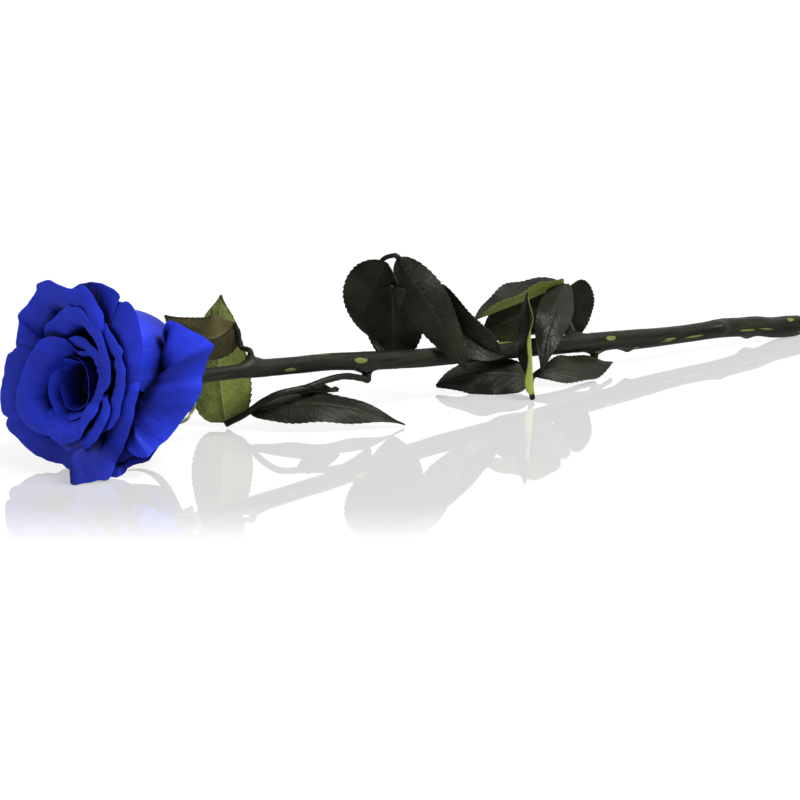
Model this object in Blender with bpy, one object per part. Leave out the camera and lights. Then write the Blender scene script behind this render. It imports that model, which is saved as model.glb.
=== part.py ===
"""A preserved rose lying on its side: bloom, calyx, woody stem and five compound leaves.

The frame has +X from the bloom to the cut end of the stem, +Y to the far side and +Z up.
The surface that the rose lies on is Z = 0. Sizes are in millimetres until a mesh is made.
"""
import math

import bpy
import bmesh
from mathutils import Vector

# Driving dimensions, in millimetres
MM = 0.001
CENTRE_SHIFT = Vector((4.8, 7.1, 0.0))
GAP = 0.35
MERGE_DISTANCE = 0.000002

# Colour and roughness of each material
FINISHES = {
    "petal_blue": ((0.012, 0.03, 0.52), 0.62),
    "calyx_green": ((0.16, 0.22, 0.07), 0.55),
    "stem_bark": ((0.035, 0.045, 0.028), 0.5),
    "leaf_green": ((0.03, 0.045, 0.02), 0.45),
}
SHARP_DEGREES = 40.0

# Bloom: where the petals meet the hip, which way it faces, and its petals
BLOOM_ROOT = Vector((-142.4, -5.6, 27.5))
BLOOM_YAW = 8.0
BLOOM_TILT = 5.2
PETAL_THICKNESS = 0.75
PETAL_SINK = 0.9
PETAL_ROWS = 5
PETAL_STEP = 11.5
PETAL_LEAST_COLS = 5
CURL_PER_TURN = 5.6
# A petal's root: share of its distance from the middle, the height that falls with that
# distance, and the least height
PETAL_ROOT_SHARE = 0.3
PETAL_ROOT_TOP = 29.0
PETAL_ROOT_LEAST = 3.0
# Share of a petal's full width at its root, and its body's arc length over its chord
PETAL_ROOT_WIDTH = 0.45
PETAL_ARC = 1.12
PETAL_ROW_POWER = 0.8
CORE_PROFILE = [(5.0, 0.2), (11.0, 1.6), (15.5, 5.0), (18.0, 11.0), (18.4, 18.0), (15.4, 22.0),
                (11.6, 24.6), (6.6, 25.6), (2.4, 26.0)]
CORE_SIDES = 18

# Calyx: the hip behind the bloom and the sepals round it
HIP_LENGTH = 9.5
HIP_RADIUS = 5.4
HIP_LEAST_RADIUS = 3.0
HIP_SIDES = 12
HIP_RINGS = 8
SEPAL_COUNT = 5
SEPAL_LENGTH = 25.0
SEPAL_WIDTH = 5.5
SEPAL_THICKNESS = 0.8
SEPAL_FIRST_TURN = -16.0
# Where a sepal starts, then control points as share of its length and height
SEPAL_START = (4.0, -1.5)
SEPAL_CURVE = [(0.75, -2.6), (0.98, 4.0), (1.02, 12.0)]
SEPAL_TIP = 0.45
SEPAL_DROOP = 0.5

# Stem: points on its centre line with the radius there, from the hip to the cut end
STEM_SIDES = 12
STEM_STEP = 7.5
STEM_ROUTE = [
    ((-132.65, -4.3, 26.5), 2.7),
    ((-124.0, -3.6, 26.0), 2.5),
    ((-113.0, -2.9, 25.6), 2.6),
    ((-103.5, -2.4, 25.2), 3.3),
    ((-88.0, -1.7, 24.1), 3.2),
    ((-70.0, -0.8, 22.8), 3.3),
    ((-54.4, -0.5, 20.9), 3.5),
    ((-25.0, 0.0, 18.0), 3.6),
    ((12.7, 0.0, 15.8), 3.6),
    ((44.0, 0.0, 13.8), 3.7),
    ((77.7, 0.0, 11.5), 3.9),
    ((89.0, 0.0, 10.4), 4.1),
    ((112.4, 0.0, 9.2), 3.8),
    ((124.3, -0.2, 9.0), 3.8),
    ((136.4, -0.4, 8.9), 4.1),
    ((148.7, -0.6, 8.0), 4.2),
    ((158.1, -0.8, 7.2), 4.3),
    ((168.0, -1.0, 5.4), 4.5),
    ((178.0, -1.2, 4.7), 4.7),
    ((184.0, -1.3, 4.5), 4.4),
]
CUT_BEVEL = 1.2
CUT_BEVEL_LENGTH = 0.72

# Knobs: distance along X, angle round the stem from the far side up, and radius.
# A leaf sits on each of the first five, and the others are the scars of lost leaves.
STEM_KNOBS = [
    (-106.5, 78.0, 2.8),
    (-54.0, -100.0, 2.8),
    (-39.0, 15.0, 2.4),
    (53.0, 62.0, 2.6),
    (62.0, -92.0, 2.8),
    (81.0, -75.0, 2.6),
    (133.5, 160.0, 2.8),
    (153.5, -60.0, 3.0),
]
KNOB_SINK = 0.45
KNOB_SIDES = 7
# A knob's outline: distance from its middle and radius there, as shares of its size
KNOB_OUTLINE = [(-1.5, 0.35), (-0.8, 0.85), (0.0, 1.0), (0.8, 0.85), (1.5, 0.35)]

# Leaves
BLADE_THICKNESS = 0.75
BLADE_COLS = 4
BLADE_LEAST_HALF = 0.55
TEETH = 6
TOOTH_OUT = 0.07
TOOTH_IN = -0.03
STALK_SIDES = 6
STALK_RISE = 2.5


def bezier(points, t):
    """Point at t on the cubic curve through four control points."""
    a, b, c, d = points
    s = 1.0 - t
    return a * s ** 3 + b * 3 * s * s * t + c * 3 * s * t * t + d * t ** 3


def smoothstep(x):
    x = min(1.0, max(0.0, x))
    return x * x * (3.0 - 2.0 * x)


def catmull_rom(values, t):
    """Smooth curve through a list of values, with t counted in steps of the list."""
    i = min(int(t), len(values) - 2)
    f = t - i
    before = values[max(i - 1, 0)]
    after = values[min(i + 2, len(values) - 1)]
    a, b = values[i], values[i + 1]
    return 0.5 * (2 * a + (b - before) * f + (2 * before - 5 * a + 4 * b - after) * f * f
                  + (3 * a - before - 3 * b + after) * f ** 3)


def material(name):
    colour, roughness = FINISHES[name]
    mat = bpy.data.materials.new(name)
    mat.use_nodes = True
    shader = mat.node_tree.nodes["Principled BSDF"]
    shader.inputs["Base Color"].default_value = (*colour, 1.0)
    shader.inputs["Roughness"].default_value = roughness
    shader.inputs["Metallic"].default_value = 0.0
    return mat


def mesh_object(name, vertices, faces, mat):
    """Object from points in millimetres, moved so that the whole rose is centred."""
    mesh = bpy.data.meshes.new(name)
    mesh.from_pydata([(v + CENTRE_SHIFT) * MM for v in vertices], [], faces)
    mesh.validate()
    fix = bmesh.new()
    fix.from_mesh(mesh)
    bmesh.ops.recalc_face_normals(fix, faces=fix.faces)
    fix.to_mesh(mesh)
    fix.free()
    mesh.materials.append(mat)
    return bpy.data.objects.new(name, mesh)


def settle(grid, thickness, sink=0.0):
    """Press the parts of a blade that would go through the surface flat on it."""
    lowest = thickness / 2 - sink
    return [[Vector((p.x, p.y, max(p.z, lowest))) for p in row] for row in grid]


def grid_normals(grid):
    rows, cols = len(grid), len(grid[0])
    normals = []
    for i in range(rows):
        line = []
        for j in range(cols):
            along = grid[min(i + 1, rows - 1)][j] - grid[max(i - 1, 0)][j]
            across = grid[i][min(j + 1, cols - 1)] - grid[i][max(j - 1, 0)]
            line.append(across.cross(along).normalized())
        normals.append(line)
    return normals


def blade(name, grid, thickness, mat, sink=0.0):
    """Closed shell of even thickness on a grid of points, with both faces split alike."""
    grid = settle(grid, thickness, sink)
    normals = grid_normals(grid)
    rows, cols = len(grid), len(grid[0])
    half = thickness / 2
    vertices = []
    for side in (half, -half):
        for i in range(rows):
            for j in range(cols):
                vertices.append(grid[i][j] + normals[i][j] * side)

    def at(i, j, layer):
        return layer * rows * cols + i * cols + j

    faces = []
    for i in range(rows - 1):
        for j in range(cols - 1):
            for layer in (0, 1):
                a, b = at(i, j, layer), at(i, j + 1, layer)
                c, d = at(i + 1, j + 1, layer), at(i + 1, j, layer)
                faces += [(a, b, c), (a, c, d)] if layer == 0 else [(a, c, b), (a, d, c)]
    border = [(0, j) for j in range(cols)]
    border += [(i, cols - 1) for i in range(1, rows)]
    border += [(rows - 1, j) for j in range(cols - 2, -1, -1)]
    border += [(i, 0) for i in range(rows - 2, 0, -1)]
    for k, (i, j) in enumerate(border):
        m, n = border[(k + 1) % len(border)]
        faces.append((at(i, j, 0), at(i, j, 1), at(m, n, 1)))
        faces.append((at(i, j, 0), at(m, n, 1), at(m, n, 0)))
    return mesh_object(name, vertices, faces, mat)


def tube(name, points, radii, sides, mat):
    """Closed tube along a line of points, with a radius for each."""
    count = len(points)
    up = Vector((0.0, 0.0, 1.0))
    vertices = []
    for i, p in enumerate(points):
        along = (points[min(i + 1, count - 1)] - points[max(i - 1, 0)]).normalized()
        side = along.cross(up).normalized()
        top = side.cross(along).normalized()
        for k in range(sides):
            angle = math.tau * k / sides
            vertices.append(p + (side * math.cos(angle) + top * math.sin(angle)) * radii[i])
    faces = []
    for i in range(count - 1):
        for k in range(sides):
            n = (k + 1) % sides
            faces.append((i * sides + k, i * sides + n, (i + 1) * sides + n, (i + 1) * sides + k))
    faces.append(tuple(range(sides - 1, -1, -1)))
    faces.append(tuple(range((count - 1) * sides, count * sides)))
    return mesh_object(name, vertices, faces, mat)


def turned(name, profile, sides, place, mat):
    """Closed solid of revolution: profile of (radius, height), placed by a function."""
    vertices = []
    for radius, height in profile:
        for k in range(sides):
            angle = math.tau * k / sides
            vertices.append(place(radius * math.sin(angle), radius * math.cos(angle), height))
    faces = []
    for i in range(len(profile) - 1):
        for k in range(sides):
            n = (k + 1) % sides
            faces.append((i * sides + k, i * sides + n, (i + 1) * sides + n, (i + 1) * sides + k))
    faces.append(tuple(range(sides - 1, -1, -1)))
    faces.append(tuple(range((len(profile) - 1) * sides, len(profile) * sides)))
    return mesh_object(name, vertices, faces, mat)


def fuse(name, pieces, mat, solver="MANIFOLD"):
    """One body from pieces that overlap, with any loose scrap dropped."""
    group = bpy.data.collections.new(name + "_pieces")
    for piece in pieces[1:]:
        group.objects.link(piece)
    body = pieces[0]
    body.name = name
    body.data.name = name
    bpy.context.scene.collection.objects.link(body)
    union = body.modifiers.new("union", "BOOLEAN")
    union.operation = "UNION"
    union.operand_type = "COLLECTION"
    union.collection = group
    union.solver = solver
    bpy.context.view_layer.update()
    evaluated = body.evaluated_get(bpy.context.evaluated_depsgraph_get())
    fused = bpy.data.meshes.new_from_object(evaluated)
    body.modifiers.clear()
    body.data = fused
    for piece in list(group.objects):
        bpy.data.objects.remove(piece)
    bpy.data.collections.remove(group)
    clean(fused)
    fused.materials.clear()
    fused.materials.append(mat)
    return body


def cut_flat(body):
    """Trim what lies below the surface, which leaves a small flat spot to rest on."""
    work = bmesh.new()
    work.from_mesh(body.data)
    geometry = list(work.verts) + list(work.edges) + list(work.faces)
    cut = bmesh.ops.bisect_plane(work, geom=geometry, dist=MERGE_DISTANCE, plane_co=(0, 0, 0),
                                 plane_no=(0, 0, -1), clear_outer=True)
    edges = [e for e in cut["geom_cut"] if isinstance(e, bmesh.types.BMEdge)]
    bmesh.ops.holes_fill(work, edges=edges, sides=0)
    bmesh.ops.triangulate(work, faces=work.faces)
    work.to_mesh(body.data)
    work.free()


def clean(mesh):
    """Drop slivers and every loose scrap, so that one body is left."""
    work = bmesh.new()
    work.from_mesh(mesh)
    bmesh.ops.remove_doubles(work, verts=work.verts, dist=MERGE_DISTANCE)
    bmesh.ops.dissolve_degenerate(work, edges=work.edges, dist=MERGE_DISTANCE)
    bmesh.ops.triangulate(work, faces=work.faces)
    islands = []
    left = set(work.verts)
    while left:
        start = left.pop()
        island, queue = {start}, [start]
        while queue:
            for edge in queue.pop().link_edges:
                for v in edge.verts:
                    if v in left:
                        left.discard(v)
                        island.add(v)
                        queue.append(v)
        islands.append(island)
    islands.sort(key=len)
    for island in islands[:-1]:
        bmesh.ops.delete(work, geom=list(island), context="VERTS")
    work.to_mesh(mesh)
    work.free()


def bloom_axes():
    """Axis that the bloom faces along, its right as seen from the front, and its top."""
    yaw, tilt = math.radians(BLOOM_YAW), math.radians(BLOOM_TILT)
    ahead = Vector((-math.cos(yaw) * math.cos(tilt), -math.sin(yaw) * math.cos(tilt),
                    math.sin(tilt)))
    right = ahead.cross(Vector((0.0, 0.0, 1.0))).normalized() * -1.0
    top = ahead.cross(right).normalized()
    if top.z < 0.0:
        top = -top
    return ahead, right, top


def in_bloom(right_by, up_by, ahead_by):
    """Point of the bloom's own frame in the rose's frame."""
    ahead, right, top = bloom_axes()
    return BLOOM_ROOT + right * right_by + top * up_by + ahead * ahead_by


def petal(rim, lean, curl, belly=0.8, ruffle=0.5, waves=3.0, spread=0.55):
    """One petal. Each point of its rim has a clock angle as seen from the front, a distance
    from the middle, a height and a lean in degrees. The body leans out by lean at its
    shoulder. The length curl beyond that rolls on to the rim's lean and then runs straight."""
    curls = curl if isinstance(curl, list) else [curl] * len(rim)
    reach = [0.0]
    for near, far in zip(rim, rim[1:]):
        across = math.radians(far[0] - near[0]) * 0.5 * (far[1] + near[1])
        reach.append(reach[-1] + math.hypot(across, far[1] - near[1], far[2] - near[2]) + 0.01)
    radius = sum(point[1] for point in rim) / len(rim)
    return dict(rim=[Vector((*point[:3], math.radians(point[3]), c)) for point, c in zip(rim, curls)],
                marks=[r / reach[-1] for r in reach], length=reach[-1], lean=math.radians(lean),
                belly=belly, ruffle=ruffle, waves=waves, spread=spread,
                root=Vector((PETAL_ROOT_SHARE * radius,
                             max(PETAL_ROOT_LEAST, PETAL_ROOT_TOP - radius))))


PETALS = [
    petal([(150, 1.5, 28, 0), (200, 4, 28.5, 0), (257, 6.5, 29, 0), (310, 5, 29, 0), (350, 3, 28.5,
          0)], lean=0, curl=1.5, belly=0.9, ruffle=0.1),
    petal([(-20, 5.5, 32, 5), (20, 3.2, 32, 5), (90, 2.2, 32, 5), (150, 4.2, 32, 5), (200, 7.5, 32,
          5)], lean=0, curl=1.5, belly=0.9, ruffle=0.1),
    petal([(-47, 12.9, 40, 15), (-28, 11.1, 40, 20), (-1, 8.8, 40, 30), (32, 5.6, 40, 35), (73, 3.9,
          40, 35), (137, 5.1, 40, 30), (173, 7.7, 39.5, 20)], lean=2, curl=2.5, belly=0.85,
          ruffle=0.15),
    petal([(109, 3.3, 39, 30), (164, 5.5, 39, 30), (197, 8.4, 39, 40), (213, 10.4, 39.5, 40), (231,
          12.3, 39.5, 35), (252, 12.6, 39.5, 25), (266, 13.3, 39.5, 20), (285, 12.9, 39.5, 20), (315,
          10.9, 39.5, 20), (333, 8.7, 39, 15)], lean=2, curl=3, belly=0.85, ruffle=0.15),
    petal([(154, 9.3, 41, 50), (175, 10.6, 41, 75), (201, 12.7, 41.5, 75), (219, 15, 41.5, 60), (231,
          15.8, 42, 50), (242, 16.3, 42, 45), (256, 16.1, 42.5, 40), (275, 14.5, 43, 35), (298, 14.3,
          43, 35), (306, 13.5, 43, 35), (321, 11.7, 42, 30), (341, 9.2, 41, 20)], lean=5, curl=4.5,
          belly=0.85, ruffle=0.2),
    petal([(311, 18.1, 42, 20), (324, 17.4, 42.5, 30), (332, 17.1, 43, 45), (339, 16.3, 43, 50), (349,
          13.9, 42.5, 60), (355, 11.8, 41, 70), (382, 13.5, 39, 70)], lean=5, curl=3, belly=0.85,
          ruffle=0.2),
    petal([(-42, 16.5, 38, 40), (-21, 16.9, 42, 70), (-11, 17.6, 42.5, 85), (-3, 18, 42.5, 95), (7, 18,
          42.3, 105), (21, 17, 42, 112), (36, 16.5, 41.5, 118), (42, 16, 41, 118), (62, 14.5, 37.5,
          118)], lean=8, curl=6.5, belly=0.85, ruffle=0.25),
    petal([(28, 13, 38, 90), (46, 12.4, 40, 100), (52, 14.3, 40.2, 115), (61, 14.6, 40.2, 122), (71,
          13.2, 40.2, 124), (90, 11.2, 40, 124), (110, 10.6, 40, 120), (145, 9.9, 39.5, 105), (158,
          9.5, 37, 60)], lean=8, curl=7, belly=0.85, ruffle=0.25),
    petal([(108, 12, 39, 90), (123, 12.9, 42, 100), (148, 14, 43, 110), (163, 16.9, 44, 110), (183,
          18.6, 45.2, 100), (194, 19.8, 46, 90), (211, 20.3, 46, 75), (227, 19.5, 45, 50), (240, 17.5,
          42, 40)], lean=12, curl=9.5, belly=0.82, ruffle=0.35),
    petal([(196, 20, 41, 90), (213, 22.3, 45, 100), (227, 25.4, 46.5, 100), (240, 27.6, 47.5, 95),
          (249, 27.6, 48, 90), (260, 25.2, 48.5, 85), (271, 23.1, 48.5, 82), (291, 21.5, 48.3, 80),
          (304, 20.3, 48, 78), (313, 20.2, 48, 75), (319, 20, 47.5, 70), (327, 19.4, 47, 60), (334,
          19.1, 46.5, 45), (347, 17.8, 43, 40)], lean=14, curl=10, belly=0.8, ruffle=0.35),
    petal([(84, 13, 36, 100), (97, 14.2, 39, 118), (105, 15.7, 39.4, 124), (112, 16.5, 39.7, 124),
          (127, 17.3, 40.5, 122), (143, 19.1, 41.2, 120), (159, 20.7, 42, 118), (182, 22.2, 42, 112),
          (190, 22.7, 42.2, 108), (196, 22.5, 42.2, 100), (204, 22.9, 42, 90), (216, 22, 39, 80)],
          lean=12, curl=8, belly=0.82, ruffle=0.3),
    petal([(-64, 22.5, 40, 30), (-40, 22.9, 46, 40), (-20, 24.1, 46.5, 60), (-5, 27.6, 46.5, 75), (-2,
          28.7, 46.8, 78), (0, 28.2, 46.5, 80), (9, 28.5, 45.5, 88), (17, 27, 44.5, 98), (26, 24.5, 43,
          108), (34, 22.1, 42, 114), (49, 19.3, 41, 120), (60, 17.2, 40, 122), (78, 14.6, 39.5, 124),
          (97, 11.4, 39, 120), (112, 11.3, 36, 100)], lean=14, curl=9, belly=0.82, ruffle=0.35),
    petal([(2, 25.5, 37, 70), (22, 26.2, 40.5, 95), (28, 27.1, 41, 105), (34, 26.3, 40.7, 112), (46,
          25.4, 40.3, 116), (53, 25.3, 39.8, 118), (56, 23.2, 39.4, 120), (68, 22.6, 38.6, 124), (76,
          21.2, 38.3, 125), (94, 19.1, 38.2, 125), (120, 19.5, 38.4, 120), (143, 18.8, 39, 110), (158,
          19.5, 37, 90)], lean=14, curl=8.5, belly=0.82, ruffle=0.35),
    petal([(275, 32, 40, 45), (284, 33.5, 44, 56), (294, 31.6, 46.3, 68), (303, 33.6, 46.2, 66), (306,
          36.3, 46, 66), (319, 35, 46.3, 68), (330, 36.1, 46.5, 72), (331, 37.2, 46.8, 75), (340, 37.4,
          47, 80), (347, 35.8, 46.8, 82), (356, 34, 46.3, 84), (364, 34.5, 45.8, 86), (368, 36.3, 45.4,
          90), (373, 35.1, 44.5, 96), (379, 32.7, 43.2, 104), (385, 30.5, 41.8, 110), (388, 27.6, 40.5,
          112), (394, 24.5, 37, 112)], lean=20, curl=12, belly=0.8, ruffle=0.4),
    petal([(236, 36, 38, 70), (246, 41.1, 42.5, 86), (249, 43.1, 43.5, 88), (256, 41.2, 44.5, 88),
          (262, 38, 45.5, 85), (270, 35.5, 46.4, 82), (279, 35.1, 46.6, 80), (288, 31.4, 46.6, 76),
          (298, 27, 43, 60)], lean=24, curl=12, belly=0.78, ruffle=0.4),
    petal([(182, 29, 34, 70), (194, 31.9, 38, 80), (202, 32.4, 37.6, 88), (211, 33.8, 38.6, 90), (222,
          36.5, 40.2, 90), (233, 39.7, 42, 88), (241, 42.9, 43, 85), (246, 38.7, 44, 80), (254, 36, 40,
          70)], lean=22, curl=13, belly=0.78, ruffle=0.5),
    petal([(64, 22.5, 30.5, 110), (79, 24, 33.5, 122), (91, 22.5, 34, 127), (103, 21.4, 34, 127), (121,
          21.5, 33.7, 124), (140, 23.2, 33, 118), (155, 27.2, 33, 110), (159, 32.2, 35.8, 104), (162,
          32, 39.5, 100), (165, 32.1, 43, 98), (166, 32.2, 45.6, 95), (169, 32, 47.8, 90), (180, 29.1,
          43.5, 80), (191, 26.4, 41, 75)], lean=22, curl=[11, 12.5, 12.5, 13, 13.5, 14, 14.5, 15, 15,
          15, 14, 13, 11, 8], belly=0.78, ruffle=0.3),
    petal([(-16, 33, 36, 50), (-4, 35.4, 40, 60), (1, 36.1, 40.5, 68), (7, 37.1, 40.5, 78), (15, 37.6,
          40.2, 84), (23, 37.7, 39.6, 88), (27, 37.6, 39.2, 90), (26, 35.8, 38.7, 90), (25, 34.8, 38.4,
          92), (29, 36.2, 38.4, 95), (31, 37.7, 38.2, 98), (34, 37.9, 37.5, 100), (37, 36.7, 36.6,
          104), (40, 35.1, 35.7, 108), (48, 31.6, 34.8, 114), (56, 28, 34, 118), (68, 24.8, 33.6, 122),
          (80, 22.4, 33.5, 120), (100, 20.5, 31, 115)], lean=20, curl=[8, 10, 12, 14, 15, 15.5, 16, 16,
          16, 16.5, 17, 17, 17, 16.5, 16, 15, 14, 13, 11], belly=0.78, ruffle=0.3),
    petal([(49, 32.8, 25, 80), (41, 33.3, 22, 105), (43, 34.3, 19.5, 122), (51, 35.4, 17, 130), (60,
          38.8, 15, 134), (64, 40.3, 14, 136), (68, 37, 14, 136), (77, 33.7, 14.5, 136), (84, 33.2, 15,
          136), (92, 30.9, 16, 136), (106, 28.4, 18, 134), (118, 27.9, 20, 130), (128, 28.6, 22.5,
          122), (133, 29.7, 25, 112), (136, 31.3, 27, 104), (145, 29.5, 29, 95), (149, 29.6, 31, 85)],
          lean=30, curl=[7, 8, 10, 14, 18.5, 19.5, 21, 22.5, 23.5, 23, 22, 20, 18.5, 17, 15, 12, 10],
          belly=0.7, ruffle=0.5, spread=1),
    petal([(4, 27, 30, 30), (25, 28, 32.5, 25), (40, 27.5, 33.5, 20), (55, 25, 33.7, 16), (70, 22.5,
          33.4, 16), (90, 20, 32.5, 16), (108, 19, 30, 16)], lean=8, curl=3, belly=0.98, ruffle=0.3),
    petal([(118, 25, 22, 80), (140, 27, 21, 95), (147, 28.9, 22, 98), (156, 28.1, 24.5, 98), (160,
          28.6, 26.5, 96), (160, 30, 28, 95), (161, 32.3, 31, 94), (164, 32.2, 32, 92), (172, 32, 35,
          90), (172, 29, 38, 70)], lean=24, curl=5, belly=0.85, ruffle=0.4),
    petal([(260, 35, 32, 100), (277, 35, 34.8, 100), (293, 35, 35.9, 100), (310, 35, 36, 100), (327,
          35, 35.9, 100), (343, 35, 34.8, 100), (360, 35, 32, 100)], lean=26, curl=12, belly=0.7,
          ruffle=1),
    petal([(190, 34, 29, 105), (206, 34, 31.8, 105), (222, 34, 32.9, 105), (238, 34, 33, 105), (254,
          34, 32.9, 105), (270, 34, 31.8, 105), (286, 34, 29, 105)], lean=26, curl=12, belly=0.7,
          ruffle=1),
    petal([(142, 27, 26, 95), (157, 27, 28.8, 95), (173, 27, 29.9, 95), (188, 27, 30, 95), (203, 27,
          29.9, 95), (219, 27, 28.8, 95), (234, 27, 26, 95)], lean=26, curl=9, belly=0.75, ruffle=0.6),
    petal([(224, 38, 22, 138), (240, 38, 20.6, 138), (256, 38, 20.1, 138), (272, 38, 20, 138), (288,
          38, 20.1, 138), (304, 38, 20.6, 138), (320, 38, 22, 138)], lean=34, curl=16, belly=0.6,
          ruffle=1),
    petal([(300, 24.5, 18, 70), (313, 24.5, 20.8, 70), (325, 24.5, 21.9, 70), (338, 24.5, 22, 70),
          (351, 24.5, 21.9, 70), (363, 24.5, 20.8, 70), (376, 24.5, 18, 70)], lean=14, curl=6,
          belly=0.95, ruffle=0.6),
]


def rim_at(p, share):
    """Rim point at a share of the rim's length."""
    marks = p["marks"]
    i = 0
    while i < len(marks) - 2 and share > marks[i + 1]:
        i += 1
    return catmull_rom(p["rim"], i + (share - marks[i]) / (marks[i + 1] - marks[i]))


def petal_section(p, rim, flare, curl, t):
    """Point on a petal's section: a body that swells from the root, then the curled rim."""
    lean = p["lean"]
    roll = min(curl, CURL_PER_TURN * (flare - lean))
    flat = curl - roll
    bend = roll / (flare - lean)
    beyond = Vector((math.sin(flare), math.cos(flare))) * flat
    back = Vector((math.cos(lean) - math.cos(flare), math.sin(flare) - math.sin(lean))) * bend
    shoulder = rim - beyond - back
    body = PETAL_ARC * (shoulder - p["root"]).length
    whole = body + roll + flat
    if t * whole < body:
        rise = Vector((math.sin(lean), math.cos(lean)))
        reach = 0.45 * (shoulder.y - p["root"].y)
        swell = Vector((max(p["root"].x, p["belly"] * shoulder.x), p["root"].y + 0.1 * reach))
        return bezier((p["root"], swell, shoulder - rise * reach, shoulder), t * whole / body)
    if flat < 0.01 or t * whole < body + roll:
        angle = lean + (flare - lean) * (t * whole - body) / roll
        return shoulder + Vector((math.cos(lean) - math.cos(angle),
                                  math.sin(angle) - math.sin(lean))) * bend
    return rim - beyond * ((1.0 - t) * whole / flat)


def petal_point(p, u, v, phase):
    """Point at u across, from -1 to 1, and v from root to rim, in the rose's frame."""
    turn, radius, height, flare, curl = rim_at(p, 0.5 + 0.5 * u)
    point = petal_section(p, Vector((radius, height)), max(flare, p["lean"] + 0.05), curl, v)
    point.x += p["ruffle"] * v ** 3 * math.sin(p["waves"] * u * 2.2 + phase)
    width = PETAL_ROOT_WIDTH + (1.0 - PETAL_ROOT_WIDTH) * smoothstep(v / p["spread"])
    middle = 0.5 * (p["rim"][0][0] + p["rim"][-1][0])
    angle = math.radians(middle + (turn - middle) * width)
    return in_bloom(point.x * math.sin(angle), point.x * math.cos(angle), point.y)


def petal_grid(p, rows, cols, phase):
    return [[petal_point(p, -1.0 + 2.0 * j / cols, (i / rows) ** PETAL_ROW_POWER, phase)
             for j in range(cols + 1)] for i in range(rows + 1)]


def make_bloom():
    mat = material("petal_blue")
    pieces = [turned("core", CORE_PROFILE, CORE_SIDES, in_bloom, mat)]
    for n, p in enumerate(PETALS):
        cols = max(PETAL_LEAST_COLS, round(p["length"] / PETAL_STEP))
        grid = petal_grid(p, PETAL_ROWS, cols, n)
        pieces.append(blade(f"petal_{n}", grid, PETAL_THICKNESS, mat, PETAL_SINK))
    bloom = fuse("bloom", pieces, mat)
    cut_flat(bloom)
    return bloom


def sepal_grid(turn, length, rows=6, cols=2):
    """A sepal rises from the hip, hugs the back of the bloom and curls away at its tip."""
    path = [Vector(SEPAL_START)] + [Vector((length * share, z)) for share, z in SEPAL_CURVE]
    grid = []
    for i in range(rows + 1):
        t = i / rows
        r, z = bezier(path, t)
        half = 0.5 * SEPAL_WIDTH * (1.0 - t) ** 0.7 + SEPAL_TIP
        line = []
        for j in range(cols + 1):
            u = -1.0 + 2.0 * j / cols
            angle = math.radians(turn)
            side = u * half
            x = r * math.sin(angle) + side * math.cos(angle)
            y = r * math.cos(angle) - side * math.sin(angle)
            line.append(in_bloom(x, y, z - SEPAL_DROOP * abs(u)))
        grid.append(line)
    return grid


def make_calyx():
    mat = material("calyx_green")
    profile = []
    for i in range(HIP_RINGS + 1):
        t = i / HIP_RINGS
        swell = math.sin(math.pi * min(1.0, 0.12 + 0.8 * t)) ** 0.6
        profile.append((max(HIP_LEAST_RADIUS, HIP_RADIUS * swell), -HIP_LENGTH + (HIP_LENGTH - GAP) * t))
    pieces = [turned("hip", profile, HIP_SIDES, in_bloom, mat)]
    for k in range(SEPAL_COUNT):
        turn = SEPAL_FIRST_TURN + 360.0 * k / SEPAL_COUNT
        pieces.append(blade(f"sepal_{k}", sepal_grid(turn, SEPAL_LENGTH), SEPAL_THICKNESS, mat))
    return fuse("calyx", pieces, mat)


def stem_centre(x):
    """Centre and radius of the stem at a distance along X."""
    points = [Vector(p) for p, _ in STEM_ROUTE]
    radii = [r for _, r in STEM_ROUTE]
    i = 0
    while i < len(points) - 2 and x > points[i + 1].x:
        i += 1
    part = (x - points[i].x) / (points[i + 1].x - points[i].x)
    t = i + min(1.0, max(0.0, part))
    return catmull_rom(points, t), catmull_rom(radii, t)


def outward(turn):
    """Direction square to the stem, turned from the far side up."""
    angle = math.radians(turn)
    return Vector((0.0, math.cos(angle), math.sin(angle)))


def leaf_seat(knob):
    """First two points of a leaf's stalk, which leaves the top of a knob square to it."""
    x, turn, size = STEM_KNOBS[knob]
    centre, radius = stem_centre(x)
    seat = centre + outward(turn) * (radius + (1.0 - KNOB_SINK) * size + GAP)
    return [seat, seat + outward(turn) * STALK_RISE]


def make_stem():
    mat = material("stem_bark")
    start, end = STEM_ROUTE[0][0][0], STEM_ROUTE[-1][0][0]
    count = round((end - start) / STEM_STEP)
    points, radii = [], []
    for i in range(count + 1):
        centre, radius = stem_centre(start + (end - start) * i / count)
        centre.z = max(centre.z, radius)
        points.append(centre)
        radii.append(radius)
    points.append(points[-1] + Vector((CUT_BEVEL_LENGTH, 0.0, 0.0)))
    radii.append(radii[-1] - CUT_BEVEL)
    pieces = [tube("shaft", points, radii, STEM_SIDES, mat)]
    for n, (x, turn, size) in enumerate(STEM_KNOBS):
        centre, radius = stem_centre(x)
        middle = centre + outward(turn) * (radius - KNOB_SINK * size)
        ends = [middle + Vector((along * size, 0.0, 0.0)) for along, _ in KNOB_OUTLINE]
        sizes = [size * share for _, share in KNOB_OUTLINE]
        pieces.append(tube(f"knob_{n}", ends, sizes, KNOB_SIDES, mat))
    return fuse("stem", pieces, mat)


def leaflet(base, middle, tip, width, faces, fold=12.0, curl=0.0, twist=0.0, wave=0.6,
            waves=2.5, wide=0.0, blunt=0.8, taper=0.0):
    """One leaflet: midrib through three points, upper side turned to the given direction."""
    return dict(base=Vector(base), middle=Vector(middle), tip=Vector(tip), width=width,
                faces=Vector(faces).normalized(), fold=fold, curl=curl, twist=twist, wave=wave,
                waves=waves, wide=wide, blunt=blunt, taper=taper)


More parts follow.
